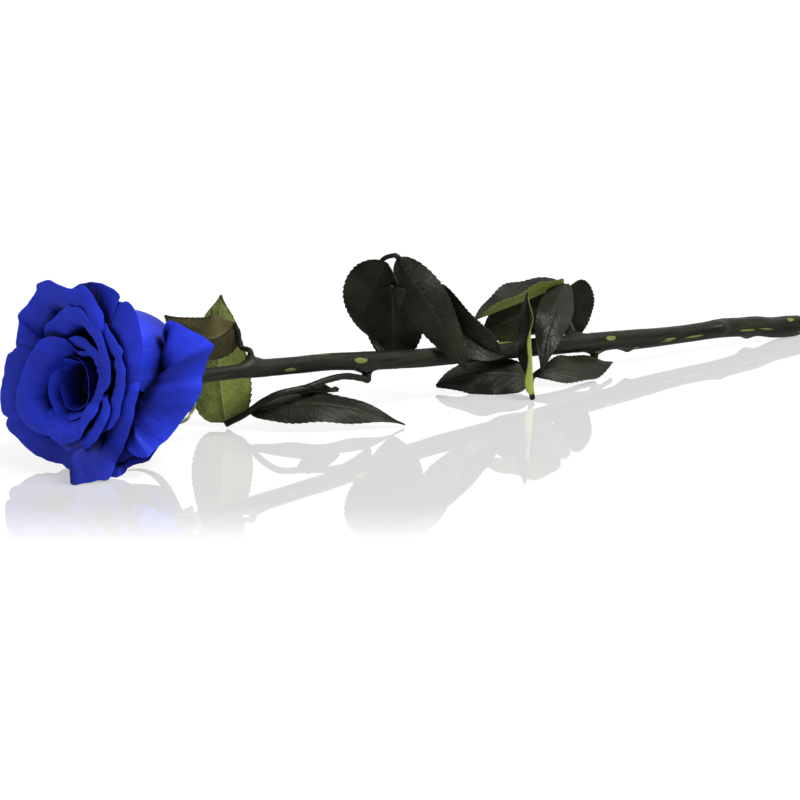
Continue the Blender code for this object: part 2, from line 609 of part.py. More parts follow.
def midrib(leaf, t):
    """Quadratic curve that passes through the leaflet's middle point at half way."""
    control = leaf["middle"] * 2.0 - (leaf["base"] + leaf["tip"]) * 0.5
    s = 1.0 - t
    return leaf["base"] * s * s + control * 2 * s * t + leaf["tip"] * t * t


def blade_width(leaf, t):
    """Share of the full width at t: egg-shaped, drawn out to a point, which the taper sharpens."""
    share = max(0.0, math.sin(math.pi * min(1.0, t) ** (0.74 + leaf["wide"]))) ** leaf["blunt"]
    return min(share, (1.0 - t) / leaf["taper"]) if leaf["taper"] else share


def leaflet_point(leaf, u, t, tooth=0.0):
    step = 0.01
    centre = midrib(leaf, t)
    along = (midrib(leaf, min(1.0, t + step)) - midrib(leaf, max(0.0, t - step))).normalized()
    faces = leaf["faces"]
    normal = (faces - along * faces.dot(along)).normalized()
    side = along.cross(normal)
    turn = math.radians(leaf["twist"]) * (t - 0.3)
    normal, side = (normal * math.cos(turn) + side * math.sin(turn),
                    side * math.cos(turn) - normal * math.sin(turn))
    half = leaf["width"] / 2 * blade_width(leaf, t) + BLADE_LEAST_HALF
    fold = math.radians(leaf["fold"])
    out = abs(u) * half * (1.0 + tooth * abs(u) ** 4)
    rise = out * math.sin(fold) - leaf["curl"] * u * u * half
    rise += leaf["wave"] * u * u * math.sin(math.tau * leaf["waves"] * t + (0.0 if u > 0 else 1.6))
    return centre + side * math.copysign(out * math.cos(fold), u) + normal * rise


def leaflet_grid(leaf, teeth, cols):
    grid = []
    rows = 2 * teeth
    for i in range(rows + 1):
        tooth = TOOTH_OUT if i % 2 else TOOTH_IN
        line = []
        for j in range(cols + 1):
            u = -1.0 + 2.0 * j / cols
            line.append(leaflet_point(leaf, u, i / rows, tooth))
        grid.append(line)
    return grid


def make_frond(name, knob, stalks, leaves, mat):
    """Stalks and serrated leaflets that grow on them, as one body. The first stalk begins
    at the stem, on the given knob."""
    pieces = []
    for n, (route, first, last) in enumerate(stalks):
        points = [Vector(p) for p in route]
        if n == 0:
            points = leaf_seat(knob) + points
        count = 3 * (len(points) - 1)
        line = [catmull_rom(points, (len(points) - 1) * i / count) for i in range(count + 1)]
        radii = [first + (last - first) * i / count for i in range(count + 1)]
        line = [Vector((p.x, p.y, max(p.z, r))) for p, r in zip(line, radii)]
        pieces.append(tube(f"{name}_stalk_{n}", line, radii, STALK_SIDES, mat))
    for n, leaf in enumerate(leaves):
        pieces.append(blade(f"{name}_leaflet_{n}", leaflet_grid(leaf, TEETH, BLADE_COLS),
                            BLADE_THICKNESS, mat))
    return fuse(name, pieces, mat)


FRONDS = {
    "leaf_1": dict(
        knob=0,
        stalks=[([(-107.6, 3.4, 32.8), (-108.4, 4.2, 38.0), (-110.0, 4.2, 41.8)], 1.1, 0.9)],
        leaves=[leaflet((-109.8, 4.2, 41.8), (-121.1, 7.0, 36.5), (-136.0, 9.0, 47.4), 19.0,
                        (0.5, 0.75, 0.35), fold=8, wave=0.2, wide=-0.05, blunt=0.7)]),
    "leaf_2": dict(
        knob=1,
        stalks=[([(-57.5, -2.6, 15.0), (-66.3, -4.0, 17.3), (-75.3, -4.6, 17.2),
                  (-85.0, -4.4, 15.6), (-95.0, -2.6, 14.6), (-99.7, 2.0, 11.2),
                  (-102.5, 8.5, 6.0), (-107.2, 15.0, 1.4)], 1.3, 1.2)],
        leaves=[leaflet((-107.0, 15.2, 2.0), (-108.1, 17.5, 25.4), (-106.0, 18.5, 49.4), 22.0,
                        (0.55, 0.8, 0.1), fold=6, wide=-0.15, blunt=0.4, taper=0.3),
                leaflet((-101.6, 7.4, 6.6), (-79.9, -9.0, 9.5), (-54.0, -24.5, 0.8), 15.0,
                        (-0.25, -0.5, 0.8), fold=-6, curl=0.1),
                leaflet((-87.1, -4.2, 15.2), (-78.0, -3.6, 13.2), (-68.9, -3.5, 12.4), 6.5,
                        (0.5, 0.6, 0.6), fold=5, blunt=0.5)]),
    "leaf_3": dict(
        knob=2,
        stalks=[([(-37.8, 15.5, 25.5), (-36.5, 17.5, 42.0), (-38.2, 11.0, 55.0),
                  (-36.8, 4.5, 58.6), (-34.8, 3.0, 57.2)], 1.1, 0.9),
                ([(-36.0, 4.0, 58.0), (-25.0, 7.5, 52.0), (-13.8, 6.5, 44.0)], 0.8, 0.8)],
        leaves=[leaflet((-38.6, 5.8, 55.5), (-43.8, 12.8, 41.6), (-42.4, 14.2, 26.0), 21.0,
                        (-0.6, -0.7, 0.2), fold=5),
                leaflet((-38.9, 3.0, 47.2), (-34.9, 6.8, 29.9), (-33.7, 10.0, 13.6), 22.0,
                        (-0.6, -0.74, 0.3), fold=-6, curl=0.12, wide=0.2, blunt=0.6),
                leaflet((-35.6, 3.4, 57.6), (-24.8, -5.0, 36.7), (-13.2, -11.0, 13.1), 17.0,
                        (-0.5, -0.7, 0.4), fold=-10, curl=0.15),
                leaflet((-13.9, 6.3, 44.3), (-9.0, -3.0, 27.0), (6.3, -10.0, 16.2), 16.5,
                        (-0.75, -0.3, 0.45), fold=28, wide=0.1, blunt=0.5)]),
    "leaf_4": dict(
        knob=3,
        stalks=[([(53.3, 7.5, 26.0), (53.5, 9.5, 33.0), (51.5, 8.5, 38.0)], 1.1, 0.9)],
        leaves=[leaflet((53.0, 8.2, 36.8), (27.5, 6.5, 32.4), (4.2, 6.0, 28.2), 19.0,
                        (-0.1, 0.1, 1.0), fold=38, wide=0.05),
                leaflet((51.0, 9.5, 32.0), (33.3, 12.0, 25.4), (15.5, 14.0, 21.6), 20.0,
                        (0.55, 0.75, 0.1), fold=6, blunt=0.35),
                leaflet((54.0, 7.0, 36.6), (35.6, -5.5, 26.8), (24.2, -12.0, 8.1), 13.5,
                        (-0.5, -0.75, 0.4), fold=-8),
                leaflet((60.2, 12.6, 34.2), (63.3, 12.5, 24.8), (62.3, 14.0, 10.0), 16.5,
                        (-0.5, -0.8, 0.2), fold=-5, wide=-0.1, blunt=0.5)]),
    "leaf_5": dict(
        knob=4,
        stalks=[([(56.0, -0.2, 5.2), (48.0, 0.0, 6.0), (38.0, -1.0, 6.0),
                  (23.5, -7.0, 4.2), (10.3, -22.5, 1.3)], 1.1, 1.1)],
        leaves=[leaflet((22.5, -7.8, 4.4), (6.1, 2.0, 6.9), (-9.3, 13.0, 2.2), 20.5,
                        (-0.3, -0.5, 0.8), fold=-8, blunt=0.65),
                leaflet((26.0, -5.8, 4.9), (44.5, -10.0, 7.2), (70.7, -3.0, 3.4), 15.0,
                        (-0.2, -0.5, 0.8), fold=-10, wide=0.25),
                leaflet((10.9, -21.8, 1.8), (14.6, -16.0, 20.7), (20.8, -6.5, 39.0), 10.0,
                        (-0.75, 0.6, 0.25), fold=25, twist=60)]),
}


def clear_scene():
    for obj in list(bpy.data.objects):
        bpy.data.objects.remove(obj)


def main():
    clear_scene()
    make_bloom()
    make_calyx()
    make_stem()
    leaf_mat = material("leaf_green")
    for name, frond in FRONDS.items():
        make_frond(name, frond["knob"], frond["stalks"], frond["leaves"], leaf_mat.copy())
    for obj in bpy.data.objects:
        obj.data.shade_smooth()
        obj.data.set_sharp_from_angle(angle=math.radians(SHARP_DEGREES))


main()
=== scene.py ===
from math import copysign, cos, exp, hypot, pi, radians, sin, sqrt, tau

import bpy
from mathutils import Matrix, Vector, noise


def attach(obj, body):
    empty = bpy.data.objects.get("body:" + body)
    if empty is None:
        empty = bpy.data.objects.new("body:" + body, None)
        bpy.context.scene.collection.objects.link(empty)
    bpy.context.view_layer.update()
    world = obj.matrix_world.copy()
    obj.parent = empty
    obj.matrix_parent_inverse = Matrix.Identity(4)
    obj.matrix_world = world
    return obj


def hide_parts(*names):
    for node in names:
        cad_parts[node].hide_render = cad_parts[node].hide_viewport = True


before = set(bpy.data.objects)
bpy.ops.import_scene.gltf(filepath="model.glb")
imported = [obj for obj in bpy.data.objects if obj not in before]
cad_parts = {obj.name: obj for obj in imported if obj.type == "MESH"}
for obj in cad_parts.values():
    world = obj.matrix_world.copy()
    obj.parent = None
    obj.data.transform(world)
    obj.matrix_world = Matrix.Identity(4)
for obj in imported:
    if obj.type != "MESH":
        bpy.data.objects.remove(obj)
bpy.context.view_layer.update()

print("frame loaded")

studio = bpy.context.scene

# Layout lengths are in millimetres, from a point near the middle of the stem.
mm = 0.001
layoutShift = Vector((4.8, 7.1, 0.0))
straightUp = Vector((0.0, 0.0, 1.0))


# Curves and small helpers

def bezier(points, t):
    a, b, c, d = points
    s = 1.0 - t
    return a * s ** 3 + b * 3 * s * s * t + c * 3 * s * t * t + d * t ** 3


def smooth(x):
    x = min(1.0, max(0.0, x))
    return x * x * (3.0 - 2.0 * x)


def catmull(values, t):
    i = min(int(t), len(values) - 2)
    f = t - i
    before = values[max(i - 1, 0)]
    after = values[min(i + 2, len(values) - 1)]
    a, b = values[i], values[i + 1]
    return 0.5 * (2 * a + (b - before) * f + (2 * before - 5 * a + 4 * b - after) * f * f
                  + (3 * a - before - 3 * b + after) * f ** 3)


def ringTurns(sides):
    return [tau * k / sides for k in range(sides)]


def wobble(x, y, seed):
    return noise.noise(Vector((x, y, seed * 3.7)))


def scaled(colour, gain):
    return tuple(c * gain for c in colour)


def lifted(q, least):
    return Vector((q.x, q.y, max(q.z, least)))


def addObject(name, data):
    thing = bpy.data.objects.new(name, data)
    studio.collection.objects.link(thing)
    return thing


# Rows of points, for t from 0 to 1 along the blade and u from -1 to 1 across it
def gridOf(rows, cols, pointAt):
    return [[pointAt(i / rows, -1.0 + 2.0 * j / cols) for j in range(cols + 1)] for i in range(rows + 1)]


def newPart():
    return {"verts": [], "faces": [], "uvs": [], "slots": [], "wearAndShade": []}


def addVerts(part, points, uvs):
    start = len(part["verts"])
    part["verts"] += points
    part["uvs"] += uvs
    part["wearAndShade"] += [0.0] * len(points)
    return start


def addFaces(part, faces, slot):
    part["faces"] += faces
    part["slots"] += [slot] * len(faces)


def gridNormals(grid):
    rows, cols = len(grid), len(grid[0])
    normals = []
    for i in range(rows):
        line = []
        for j in range(cols):
            along = grid[min(i + 1, rows - 1)][j] - grid[max(i - 1, 0)][j]
            across = grid[i][min(j + 1, cols - 1)] - grid[i][max(j - 1, 0)]
            line.append(across.cross(along).normalized())
        normals.append(line)
    return normals


# A closed thin sheet: front and back faces a little apart, joined round the edge
def addSheet(part, grid, front, back, uv, slots):
    rows, cols = len(grid), len(grid[0])
    normals = gridNormals(grid)
    uvs = [uv(i, j) for i in range(rows) for j in range(cols)]
    starts = []
    for offset in (front, back):
        points = [grid[i][j] + normals[i][j] * offset(i, j) for i in range(rows) for j in range(cols)]
        starts.append(addVerts(part, points, uvs))
    top, under = starts
    topFaces, underFaces = [], []
    for i in range(rows - 1):
        for j in range(cols - 1):
            a, b = i * cols + j, i * cols + j + 1
            c, d = b + cols, a + cols
            topFaces.append((top + a, top + b, top + c, top + d))
            underFaces.append((under + d, under + c, under + b, under + a))
    border = list(range(cols))
    border += [i * cols + cols - 1 for i in range(1, rows)]
    border += [(rows - 1) * cols + j for j in range(cols - 2, -1, -1)]
    border += [i * cols for i in range(rows - 2, 0, -1)]
    edge = [(top + b, top + a, under + a, under + b) for a, b in zip(border, border[1:] + border[:1])]
    addFaces(part, topFaces, slots[0])
    addFaces(part, underFaces + edge, slots[1])


# Bands of faces from each ring of points to the next
def joinRings(starts, sides):
    return [(a + k, a + (k + 1) % sides, b + (k + 1) % sides, b + k)
            for a, b in zip(starts, starts[1:]) for k in range(sides)]


# A tube of rings, with a flat cap at each end
def addTube(part, rings, slot):
    sides, length = len(rings[0]), len(rings)
    uvs = [(k / sides, i / (length - 1)) for i in range(length) for k in range(sides)]
    start = addVerts(part, [p for ring in rings for p in ring], uvs)
    starts = [start + i * sides for i in range(length)]
    faces = joinRings(starts, sides)
    faces.append(tuple(range(start + sides - 1, start - 1, -1)))
    faces.append(tuple(range(starts[-1], starts[-1] + sides)))
    addFaces(part, faces, slot)
    return start


def ringsAlong(points, radii, sides):
    rings = []
    for i, p in enumerate(points):
        along = (points[min(i + 1, len(points) - 1)] - points[max(i - 1, 0)]).normalized()
        side = along.cross(straightUp).normalized()
        top = side.cross(along).normalized()
        rings.append([p + (side * cos(a) + top * sin(a)) * radii[i] for a in ringTurns(sides)])
    return rings


def makePiece(name, part, materials, replaced, sharp=50.0):
    mesh = bpy.data.meshes.new(name)
    mesh.from_pydata([(v + layoutShift) * mm for v in part["verts"]], [], part["faces"])
    layer = mesh.uv_layers.new(name="surface")
    vertexOf = [0] * len(mesh.loops)
    mesh.loops.foreach_get("vertex_index", vertexOf)
    layer.data.foreach_set("uv", [c for v in vertexOf for c in part["uvs"][v]])
    mesh.polygons.foreach_set("material_index", part["slots"])
    wearAndShade = mesh.attributes.new("wearAndShade", "FLOAT", "POINT")
    wearAndShade.data.foreach_set("value", part["wearAndShade"])
    for mat in materials:
        mesh.materials.append(mat)
    mesh.shade_smooth()
    mesh.set_sharp_from_angle(angle=radians(sharp))
    mesh.update()
    piece = addObject(name, mesh)
    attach(piece, "root")
    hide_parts(*replaced)
    print(name, "made of", len(part["faces"]), "faces")


# Node helpers for the finishes

class Nodes:
    def __init__(self, name, kind="materials", shader="Principled BSDF"):
        self.owner = getattr(bpy.data, kind).new(name)
        self.owner.use_nodes = True
        self.tree = self.owner.node_tree
        self.shader = self.tree.nodes[shader]

    def add(self, kind, links=None, **settings):
        made = self.tree.nodes.new(kind)
        for key, value in settings.items():
            setattr(made, key, value)
        for key, value in (links or {}).items():
            self.feed(made.inputs[key], value)
        return made

    def feed(self, socket, value):
        if isinstance(value, bpy.types.NodeSocket):
            self.tree.links.new(value, socket)
        else:
            socket.default_value = value

    def maths(self, operation, a, b=0.0, c=0.0):
        made = self.add("ShaderNodeMath", operation=operation)
        for socket, value in zip(made.inputs, (a, b, c)):
            self.feed(socket, value)
        return made.outputs[0]

    def ramp(self, value, places, colours):
        made = self.add("ShaderNodeValToRGB", {"Fac": value})
        stops = made.color_ramp.elements
        while len(stops) < len(places):
            stops.new(0.5)
        for stop, at, colour in zip(stops, places, colours):
            stop.position = at
            stop.color = (*(colour if isinstance(colour, tuple) else (colour,) * 3), 1.0)
        return made.outputs["Color"]

    def mix(self, share, a, b, blend="MIX"):
        made = self.add("ShaderNodeMix", data_type="RGBA", blend_type=blend)
        for key, value in (("Factor", share), ("A", a), ("B", b)):
            sockets = [s for s in made.inputs if s.name == key and s.enabled]
            self.feed(sockets[0], (*value, 1.0) if isinstance(value, tuple) else value)
        return [s for s in made.outputs if s.enabled][0]

    def noise(self, vector, scale, detail=3.0, rough=0.55):
        made = self.add("ShaderNodeTexNoise", {"Vector": vector, "Scale": scale,
                                               "Detail": detail, "Roughness": rough})
        return made.outputs["Fac"]

    def streaks(self, source, stretch, detail=3.0, rough=0.55):
        made = self.add("ShaderNodeMapping", {"Vector": source, "Scale": stretch})
        return self.noise(made.outputs["Vector"], 1.0, detail, rough)

    # a value that a noise pushes up and down
    def shaken(self, value, noise, amount):
        push = self.maths("MULTIPLY", self.maths("SUBTRACT", noise, 0.5), amount)
        return self.maths("ADD", value, push)

    # 1 on a line and 0 beyond its width, with soft flanks
    def line(self, distance, width):
        capped = self.maths("SMOOTH_MIN", self.maths("DIVIDE", distance, width), 1.0, 0.3)
        return self.maths("SUBTRACT", 1.0, capped)

    # the per-point value: real wear on the stem, painted shade on the petals
    def wearAndShade(self):
        return self.add("ShaderNodeAttribute", attribute_name="wearAndShade").outputs["Fac"]

    def bump(self, height, distance, strength=1.0, onto=None):
        made = self.add("ShaderNodeBump", {"Height": height, "Distance": distance,
                                           "Strength": strength})
        if onto is not None:
            self.feed(made.inputs["Normal"], onto)
        return made.outputs["Normal"]

    def coords(self, output="Object"):
        return self.add("ShaderNodeTexCoord").outputs[output]

    # how far a place lies along the way from the camera, between two limits
    def away(self, place, limits, ends=(0.0, 1.0)):
        far = self.add("ShaderNodeVectorMath", {0: place, 1: setting["away"]}, operation="DOT_PRODUCT")
        made = self.add("ShaderNodeMapRange", {"Value": far.outputs["Value"], "From Min": limits[0],
                                               "From Max": limits[1], "To Min": ends[0],
                                               "To Max": ends[1]}, interpolation_type="SMOOTHSTEP")
        return made.outputs["Result"]

    def finish(self, **sockets):
        for key, value in sockets.items():
            self.feed(self.shader.inputs[key.replace("_", " ")], value)
        return self.owner

    def skin(self, colour, rough, normal, **others):
        return self.finish(Base_Color=colour, Roughness=rough, Normal=normal, **others)


# Petal finish: matte dyed tissue with fine lengthwise ribs. Its colour darkens towards the root as painted
# shade of the deep gaps, and brightens at the very edge as a painted highlight on the rims
petalLook = dict(
    root=(0.0004, 0.0010, 0.030), middle=(0.0025, 0.006, 0.17), rim=(0.010, 0.026, 0.46),
    edgeHighlightGain=1.15, places=(0.0, 0.55, 0.97, 1.0),
    mottleScale=90.0, mottleSpan=(0.3, 0.7), mottleTints=((0.72, 0.72, 0.80), (1.12, 1.12, 1.05)),
    deepShade=(0.03, 0.03, 0.06), foldShade=(0.08, 0.08, 0.16), foldReach=0.014, foldSpan=(0.15, 0.80),
    ribScale=(46.0, 2.2, 1.0), ribDepth=0.00030, creaseScale=(7.0, 3.0, 1.0), creaseDepth=0.0012,
    grainScale=2600.0, grainDepth=0.00004, roughness=(0.55, 0.70), sheenTint=(0.25, 0.35, 1.0, 1.0),
)


def petalFinish(look):
    n = Nodes("petalDyeAndShade")
    uv = n.coords("UV")
    along = n.add("ShaderNodeSeparateXYZ", {"Vector": uv}).outputs["Y"]
    # painted shade at the root and a painted highlight at the edge, over the dye
    dyeWithShadeAndHighlight = (look["root"], look["middle"], look["rim"], scaled(look["rim"], look["edgeHighlightGain"]))
    blue = n.ramp(along, look["places"], dyeWithShadeAndHighlight)
    mottle = n.noise(n.coords(), look["mottleScale"], 4.0)
    blue = n.mix(1.0, blue, n.ramp(mottle, look["mottleSpan"], look["mottleTints"]), "MULTIPLY")
    # painted shade: darker where the per-point value marks the deep heart and the petals that face away
    # from the light
    blue = n.mix(n.wearAndShade(), blue, look["deepShade"], "MULTIPLY")
    # painted shade: the colour is darkened in the narrow folds between petals, as far as the ambient
    # occlusion finds them closed in
    openness = n.add("ShaderNodeAmbientOcclusion", {"Distance": look["foldReach"]}, samples=8)
    hidden = n.ramp(openness.outputs["AO"], look["foldSpan"], (1.0, 0.0))
    blue = n.mix(hidden, blue, look["foldShade"], "MULTIPLY")
    normal = n.bump(n.streaks(uv, look["creaseScale"], 3.0, 0.5), look["creaseDepth"])
    normal = n.bump(n.streaks(uv, look["ribScale"], 4.0, 0.6), look["ribDepth"], 0.8, normal)
    normal = n.bump(n.noise(n.coords(), look["grainScale"], 2.0), look["grainDepth"], 0.5, normal)
    rough = n.ramp(mottle, look["mottleSpan"], look["roughness"])
    return n.skin(blue, rough, normal, Specular_IOR_Level=0.16, Sheen_Weight=0.05,
                  Sheen_Roughness=0.45, Sheen_Tint=look["sheenTint"])


# Leaf finishes: side veins run forward from the midrib, with a fine net between them
leafLook = dict(
    sideVeins=8.5, veinLean=0.34, veinBend=1.35, veinWander=0.55, veinWidth=0.10, midribWidth=0.055,
    veinDepth=0.00018, netScale=520.0, netWidth=0.14,
    # upper sides: the blade, its pale patches, and a blush
    upperTones=dict(
        leafTop=((0.0040, 0.0052, 0.0026), (0.0120, 0.0140, 0.0072)),
        leafTopOlive=((0.020, 0.020, 0.009), (0.050, 0.046, 0.022), (0.075, 0.022, 0.016))),
    upperVeins=0.35, upperVeinGain=2.2, upperNetDepth=0.00006, upperPuffDepth=0.0006,
    upperRoughness=(0.36, 0.56),
    # undersides: the blade, its shaded patches, and its veins
    underTones=dict(
        dark=((0.075, 0.085, 0.030), (0.030, 0.034, 0.014), (0.14, 0.15, 0.06)),
        olive=((0.060, 0.058, 0.018), (0.040, 0.024, 0.012), (0.040, 0.030, 0.014)),
        deep=((0.020, 0.022, 0.008), (0.010, 0.011, 0.004), (0.045, 0.050, 0.016)),
        pale=((0.120, 0.150, 0.026), (0.050, 0.062, 0.016), (0.20, 0.22, 0.07)),
        bright=((0.150, 0.190, 0.026), (0.105, 0.140, 0.020), (0.24, 0.27, 0.08))),
    underVeins=0.62, underNet=0.22, underRim=0.75, underRimGain=0.3, underNetDepth=0.00008,
)


def veinPattern(n, look):
    uv = n.add("ShaderNodeSeparateXYZ", {"Vector": n.coords("UV")})
    out = n.maths("ABSOLUTE", n.maths("MULTIPLY_ADD", uv.outputs["X"], 2.0, -1.0))
    behind = n.maths("MULTIPLY", n.maths("POWER", out, look["veinBend"]), look["veinLean"])
    phase = n.maths("MULTIPLY", n.maths("SUBTRACT", uv.outputs["Y"], behind), look["sideVeins"])
    wander = n.maths("MULTIPLY", n.noise(n.coords(), 120.0, 2.0), look["veinWander"])
    place = n.maths("FRACT", n.maths("ADD", phase, wander))
    # distance from the nearest side vein: 0 on it and 1 half way to the next
    fromMiddle = n.maths("MULTIPLY", n.maths("ABSOLUTE", n.maths("SUBTRACT", place, 0.5)), 2.0)
    side = n.line(n.maths("SUBTRACT", 1.0, fromMiddle), look["veinWidth"])
    side = n.maths("MULTIPLY", side, n.maths("SUBTRACT", 1.0, n.maths("POWER", out, 3.0)))
    veins = n.maths("MAXIMUM", side, n.line(out, look["midribWidth"]))
    cells = n.add("ShaderNodeTexVoronoi", {"Vector": n.coords(), "Scale": look["netScale"]},
                  feature="DISTANCE_TO_EDGE")
    return veins, n.ramp(cells.outputs["Distance"], (0.0, look["netWidth"]), (1.0, 0.0)), out


def leafUpper(name, look, dark, pale, blush=None):
    n = Nodes(name)
    veins, net, _ = veinPattern(n, look)
    patches = n.noise(n.coords(), 70.0, 4.0)
    base = n.ramp(patches, (0.32, 0.72), (dark, pale))
    if blush:
        blushed = n.ramp(n.noise(n.coords(), 45.0, 2.0), (0.42, 0.6), (0.0, 1.0))
        base = n.mix(blushed, base, blush)
    shown = n.maths("MULTIPLY", veins, look["upperVeins"])
    base = n.mix(shown, base, scaled(pale, look["upperVeinGain"]))
    normal = n.bump(veins, -look["veinDepth"], 0.9)
    normal = n.bump(net, -look["upperNetDepth"], 0.6, normal)
    normal = n.bump(n.noise(n.coords(), 160.0, 3.0), look["upperPuffDepth"], 0.6, normal)
    rough = n.ramp(patches, (0.3, 0.7), look["upperRoughness"])
    return n.skin(base, rough, normal, Specular_IOR_Level=0.10)


def leafUnder(name, look, green, shade, vein):
    n = Nodes(name)
    veins, net, out = veinPattern(n, look)
    base = n.ramp(n.noise(n.coords(), 85.0, 5.0, 0.62), (0.34, 0.62), (shade, green))
    base = n.mix(n.maths("MULTIPLY", net, look["underNet"]), base, vein)
    base = n.mix(n.maths("MULTIPLY", veins, look["underVeins"]), base, vein)
    rim = n.ramp(out, (0.90, 1.0), (0.0, look["underRim"]))
    base = n.mix(rim, base, scaled(shade, look["underRimGain"]))
    normal = n.bump(veins, look["veinDepth"], 1.0)
    normal = n.bump(net, look["underNetDepth"], 0.7, normal)
    return n.skin(base, 0.6, normal, Specular_IOR_Level=0.15)


# Bark finish: dark satin skin, fine lengthwise streaks, olive scars where the worn value is high
barkLook = dict(
    skin=(0.003, 0.0035, 0.002), skinPale=(0.014, 0.016, 0.009),
    scar=(0.11, 0.115, 0.030), scarGains=(0.55, 1.35), scarDark=(0.006, 0.007, 0.004),
    scarRagged=0.35, scarRoughness=0.75, streakScale=(30.0, 520.0, 520.0), streakDepth=0.00025,
    fibreScale=(160.0, 900.0, 900.0), lumpDepth=0.00018, roughness=0.46,
)


def barkFinish(name, look):
    n = Nodes(name)
    place = n.coords()
    streaks = n.streaks(place, look["streakScale"], 4.0, 0.6)
    base = n.ramp(streaks, (0.35, 0.72), (look["skin"], look["skinPale"]))
    patches = n.ramp(n.noise(place, 55.0, 4.0), (0.45, 0.75), (0.0, 0.5))
    base = n.mix(patches, base, look["skinPale"])
    wearAndShade = n.wearAndShade()
    ragged = n.shaken(wearAndShade, n.noise(place, 900.0, 3.0), look["scarRagged"])
    base = n.mix(n.ramp(ragged, (0.16, 0.30), (0.0, 0.85)), base, look["scarDark"])
    fibreTones = [scaled(look["scar"], gain) for gain in look["scarGains"]]
    olive = n.mix(n.streaks(place, look["fibreScale"]), *fibreTones)
    base = n.mix(n.ramp(ragged, (0.44, 0.56), (0.0, 1.0)), base, olive)
    normal = n.bump(streaks, look["streakDepth"], 0.8)
    normal = n.bump(n.noise(place, 420.0, 3.0), look["lumpDepth"], 0.6, normal)
    rough = n.ramp(wearAndShade, (0.3, 0.6), (look["roughness"], look["scarRoughness"]))
    return n.skin(base, rough, normal, Specular_IOR_Level=0.10)


# Cut face of the stem: colours from the pith in the middle out to the skin
cutLook = dict(
    places=(0.0, 0.24, 0.30, 0.80, 0.92, 1.0),
    tones=((0.33, 0.27, 0.14), (0.42, 0.36, 0.20), (0.20, 0.16, 0.07), (0.26, 0.23, 0.10),
           (0.07, 0.09, 0.03), (0.02, 0.024, 0.014)),
    ragged=0.12,
)


def cutWoodFinish(look):
    n = Nodes("cutWood")
    share = n.add("ShaderNodeSeparateXYZ", {"Vector": n.coords("UV")}).outputs["Y"]
    fibre = n.noise(n.coords(), 900.0, 4.0)
    base = n.ramp(n.shaken(share, fibre, look["ragged"]), look["places"], look["tones"])
    return n.skin(base, 0.8, n.bump(fibre, 0.0002, 0.7))


calyxLook = dict(tones=((0.055, 0.075, 0.018), (0.17, 0.22, 0.075)), ribScale=(14.0, 1.2, 1.0))


def calyxFinish(look):
    n = Nodes("calyxSkin")
    base = n.ramp(n.noise(n.coords(), 150.0, 4.0), (0.3, 0.7), look["tones"])
    ribs = n.bump(n.streaks(n.coords("UV"), look["ribScale"]), 0.0004, 0.8)
    return n.skin(base, 0.58, ribs, Specular_IOR_Level=0.35)


# The bloom's own frame: where the petals meet the hip, and which way the rose looks
bloomPlace = dict(root=Vector((-142.4, -5.6, 27.5)), yaw=8.0, tilt=5.2)


def bloomAxes(place):
    yaw, tilt = radians(place["yaw"]), radians(place["tilt"])
    ahead = Vector((-cos(yaw) * cos(tilt), -sin(yaw) * cos(tilt), sin(tilt)))
    right = -ahead.cross(straightUp).normalized()
    return ahead, right, ahead.cross(right).normalized()


bloomAhead, bloomRight, bloomTop = bloomAxes(bloomPlace)


def inBloom(rightBy, upBy, aheadBy):
    return bloomPlace["root"] + bloomRight * rightBy + bloomTop * upBy + bloomAhead * aheadBy


petalShape = dict(
    rows=30, rowPower=0.8, colsPerMm=0.85, leastCols=14, thickness=0.42, rimThickness=0.22,
    rimRows=3.0, overFloor=0.3, uvStep=0.31, sharp=60.0,
    # a petal's root: its share of the petal's radius, its height, and its share of the width
    rootShare=0.3, rootFrom=29.0, rootLeast=3.0, rootWidth=0.45,
    # the body's length over the straight line, how far its swell reaches, and its rolled rim
    bodyArc=1.12, swellReach=0.45, curlPerTurn=5.6,
    # rounded corners, and the radius from which a petal has its full waves
    corner=9.0, cornerLeast=0.12, fullRadius=20.0, ruffleWaves=6.6,
    # waves: size in millimetres, then how many along and up the petal
    wander=(0.5, 2.6, 0.0), nicks=(0.45, 9.0, 0.0), dents=(0.9, 2.0, 2.4), crinkle=(0.6, 5.5, 2.0),
    folds=(1.0, 0.045, 1.2),
    # where the shade of the heart begins and how far it deepens, by height and by radius
    heartTop=(40.0, 11.0), heartSide=(16.0, 5.0),
    # share of shade on petals that face away from the light, by their place in the table
    dimPetals={14: 0.15, 16: 0.55},
)


# A petal from its rim, the lean at its shoulder, and the length beyond it that curls
def petal(rim, lean, curl, belly=0.8, ruffle=0.5, spread=0.55, folds=0.6):
    curls = curl if isinstance(curl, list) else [curl] * len(rim)
    reach = [0.0]
    for near, far in zip(rim, rim[1:]):
        across = radians(far[0] - near[0]) * 0.5 * (far[1] + near[1])
        reach.append(reach[-1] + hypot(across, far[1] - near[1], far[2] - near[2]) + 0.01)
    radius = sum(point[1] for point in rim) / len(rim)
    rootHeight = max(petalShape["rootLeast"], petalShape["rootFrom"] - radius)
    return dict(rim=[Vector((*point[:3], radians(point[3]), c)) for point, c in zip(rim, curls)],
                marks=[r / reach[-1] for r in reach], length=reach[-1], radius=radius,
                root=Vector((petalShape["rootShare"] * radius, rootHeight)),
                lean=radians(lean), belly=belly, ruffle=ruffle, spread=spread, folds=folds)


# The even rim of a petal at the back, which drops towards both sides
def evenRim(first, last, radius, height, drop, lean):
    steps = [k / 3 - 1.0 for k in range(7)]
    return [(round(first + (last - first) * (s + 1.0) / 2), radius,
             round(height - drop * abs(s) ** 3, 1), lean) for s in steps]


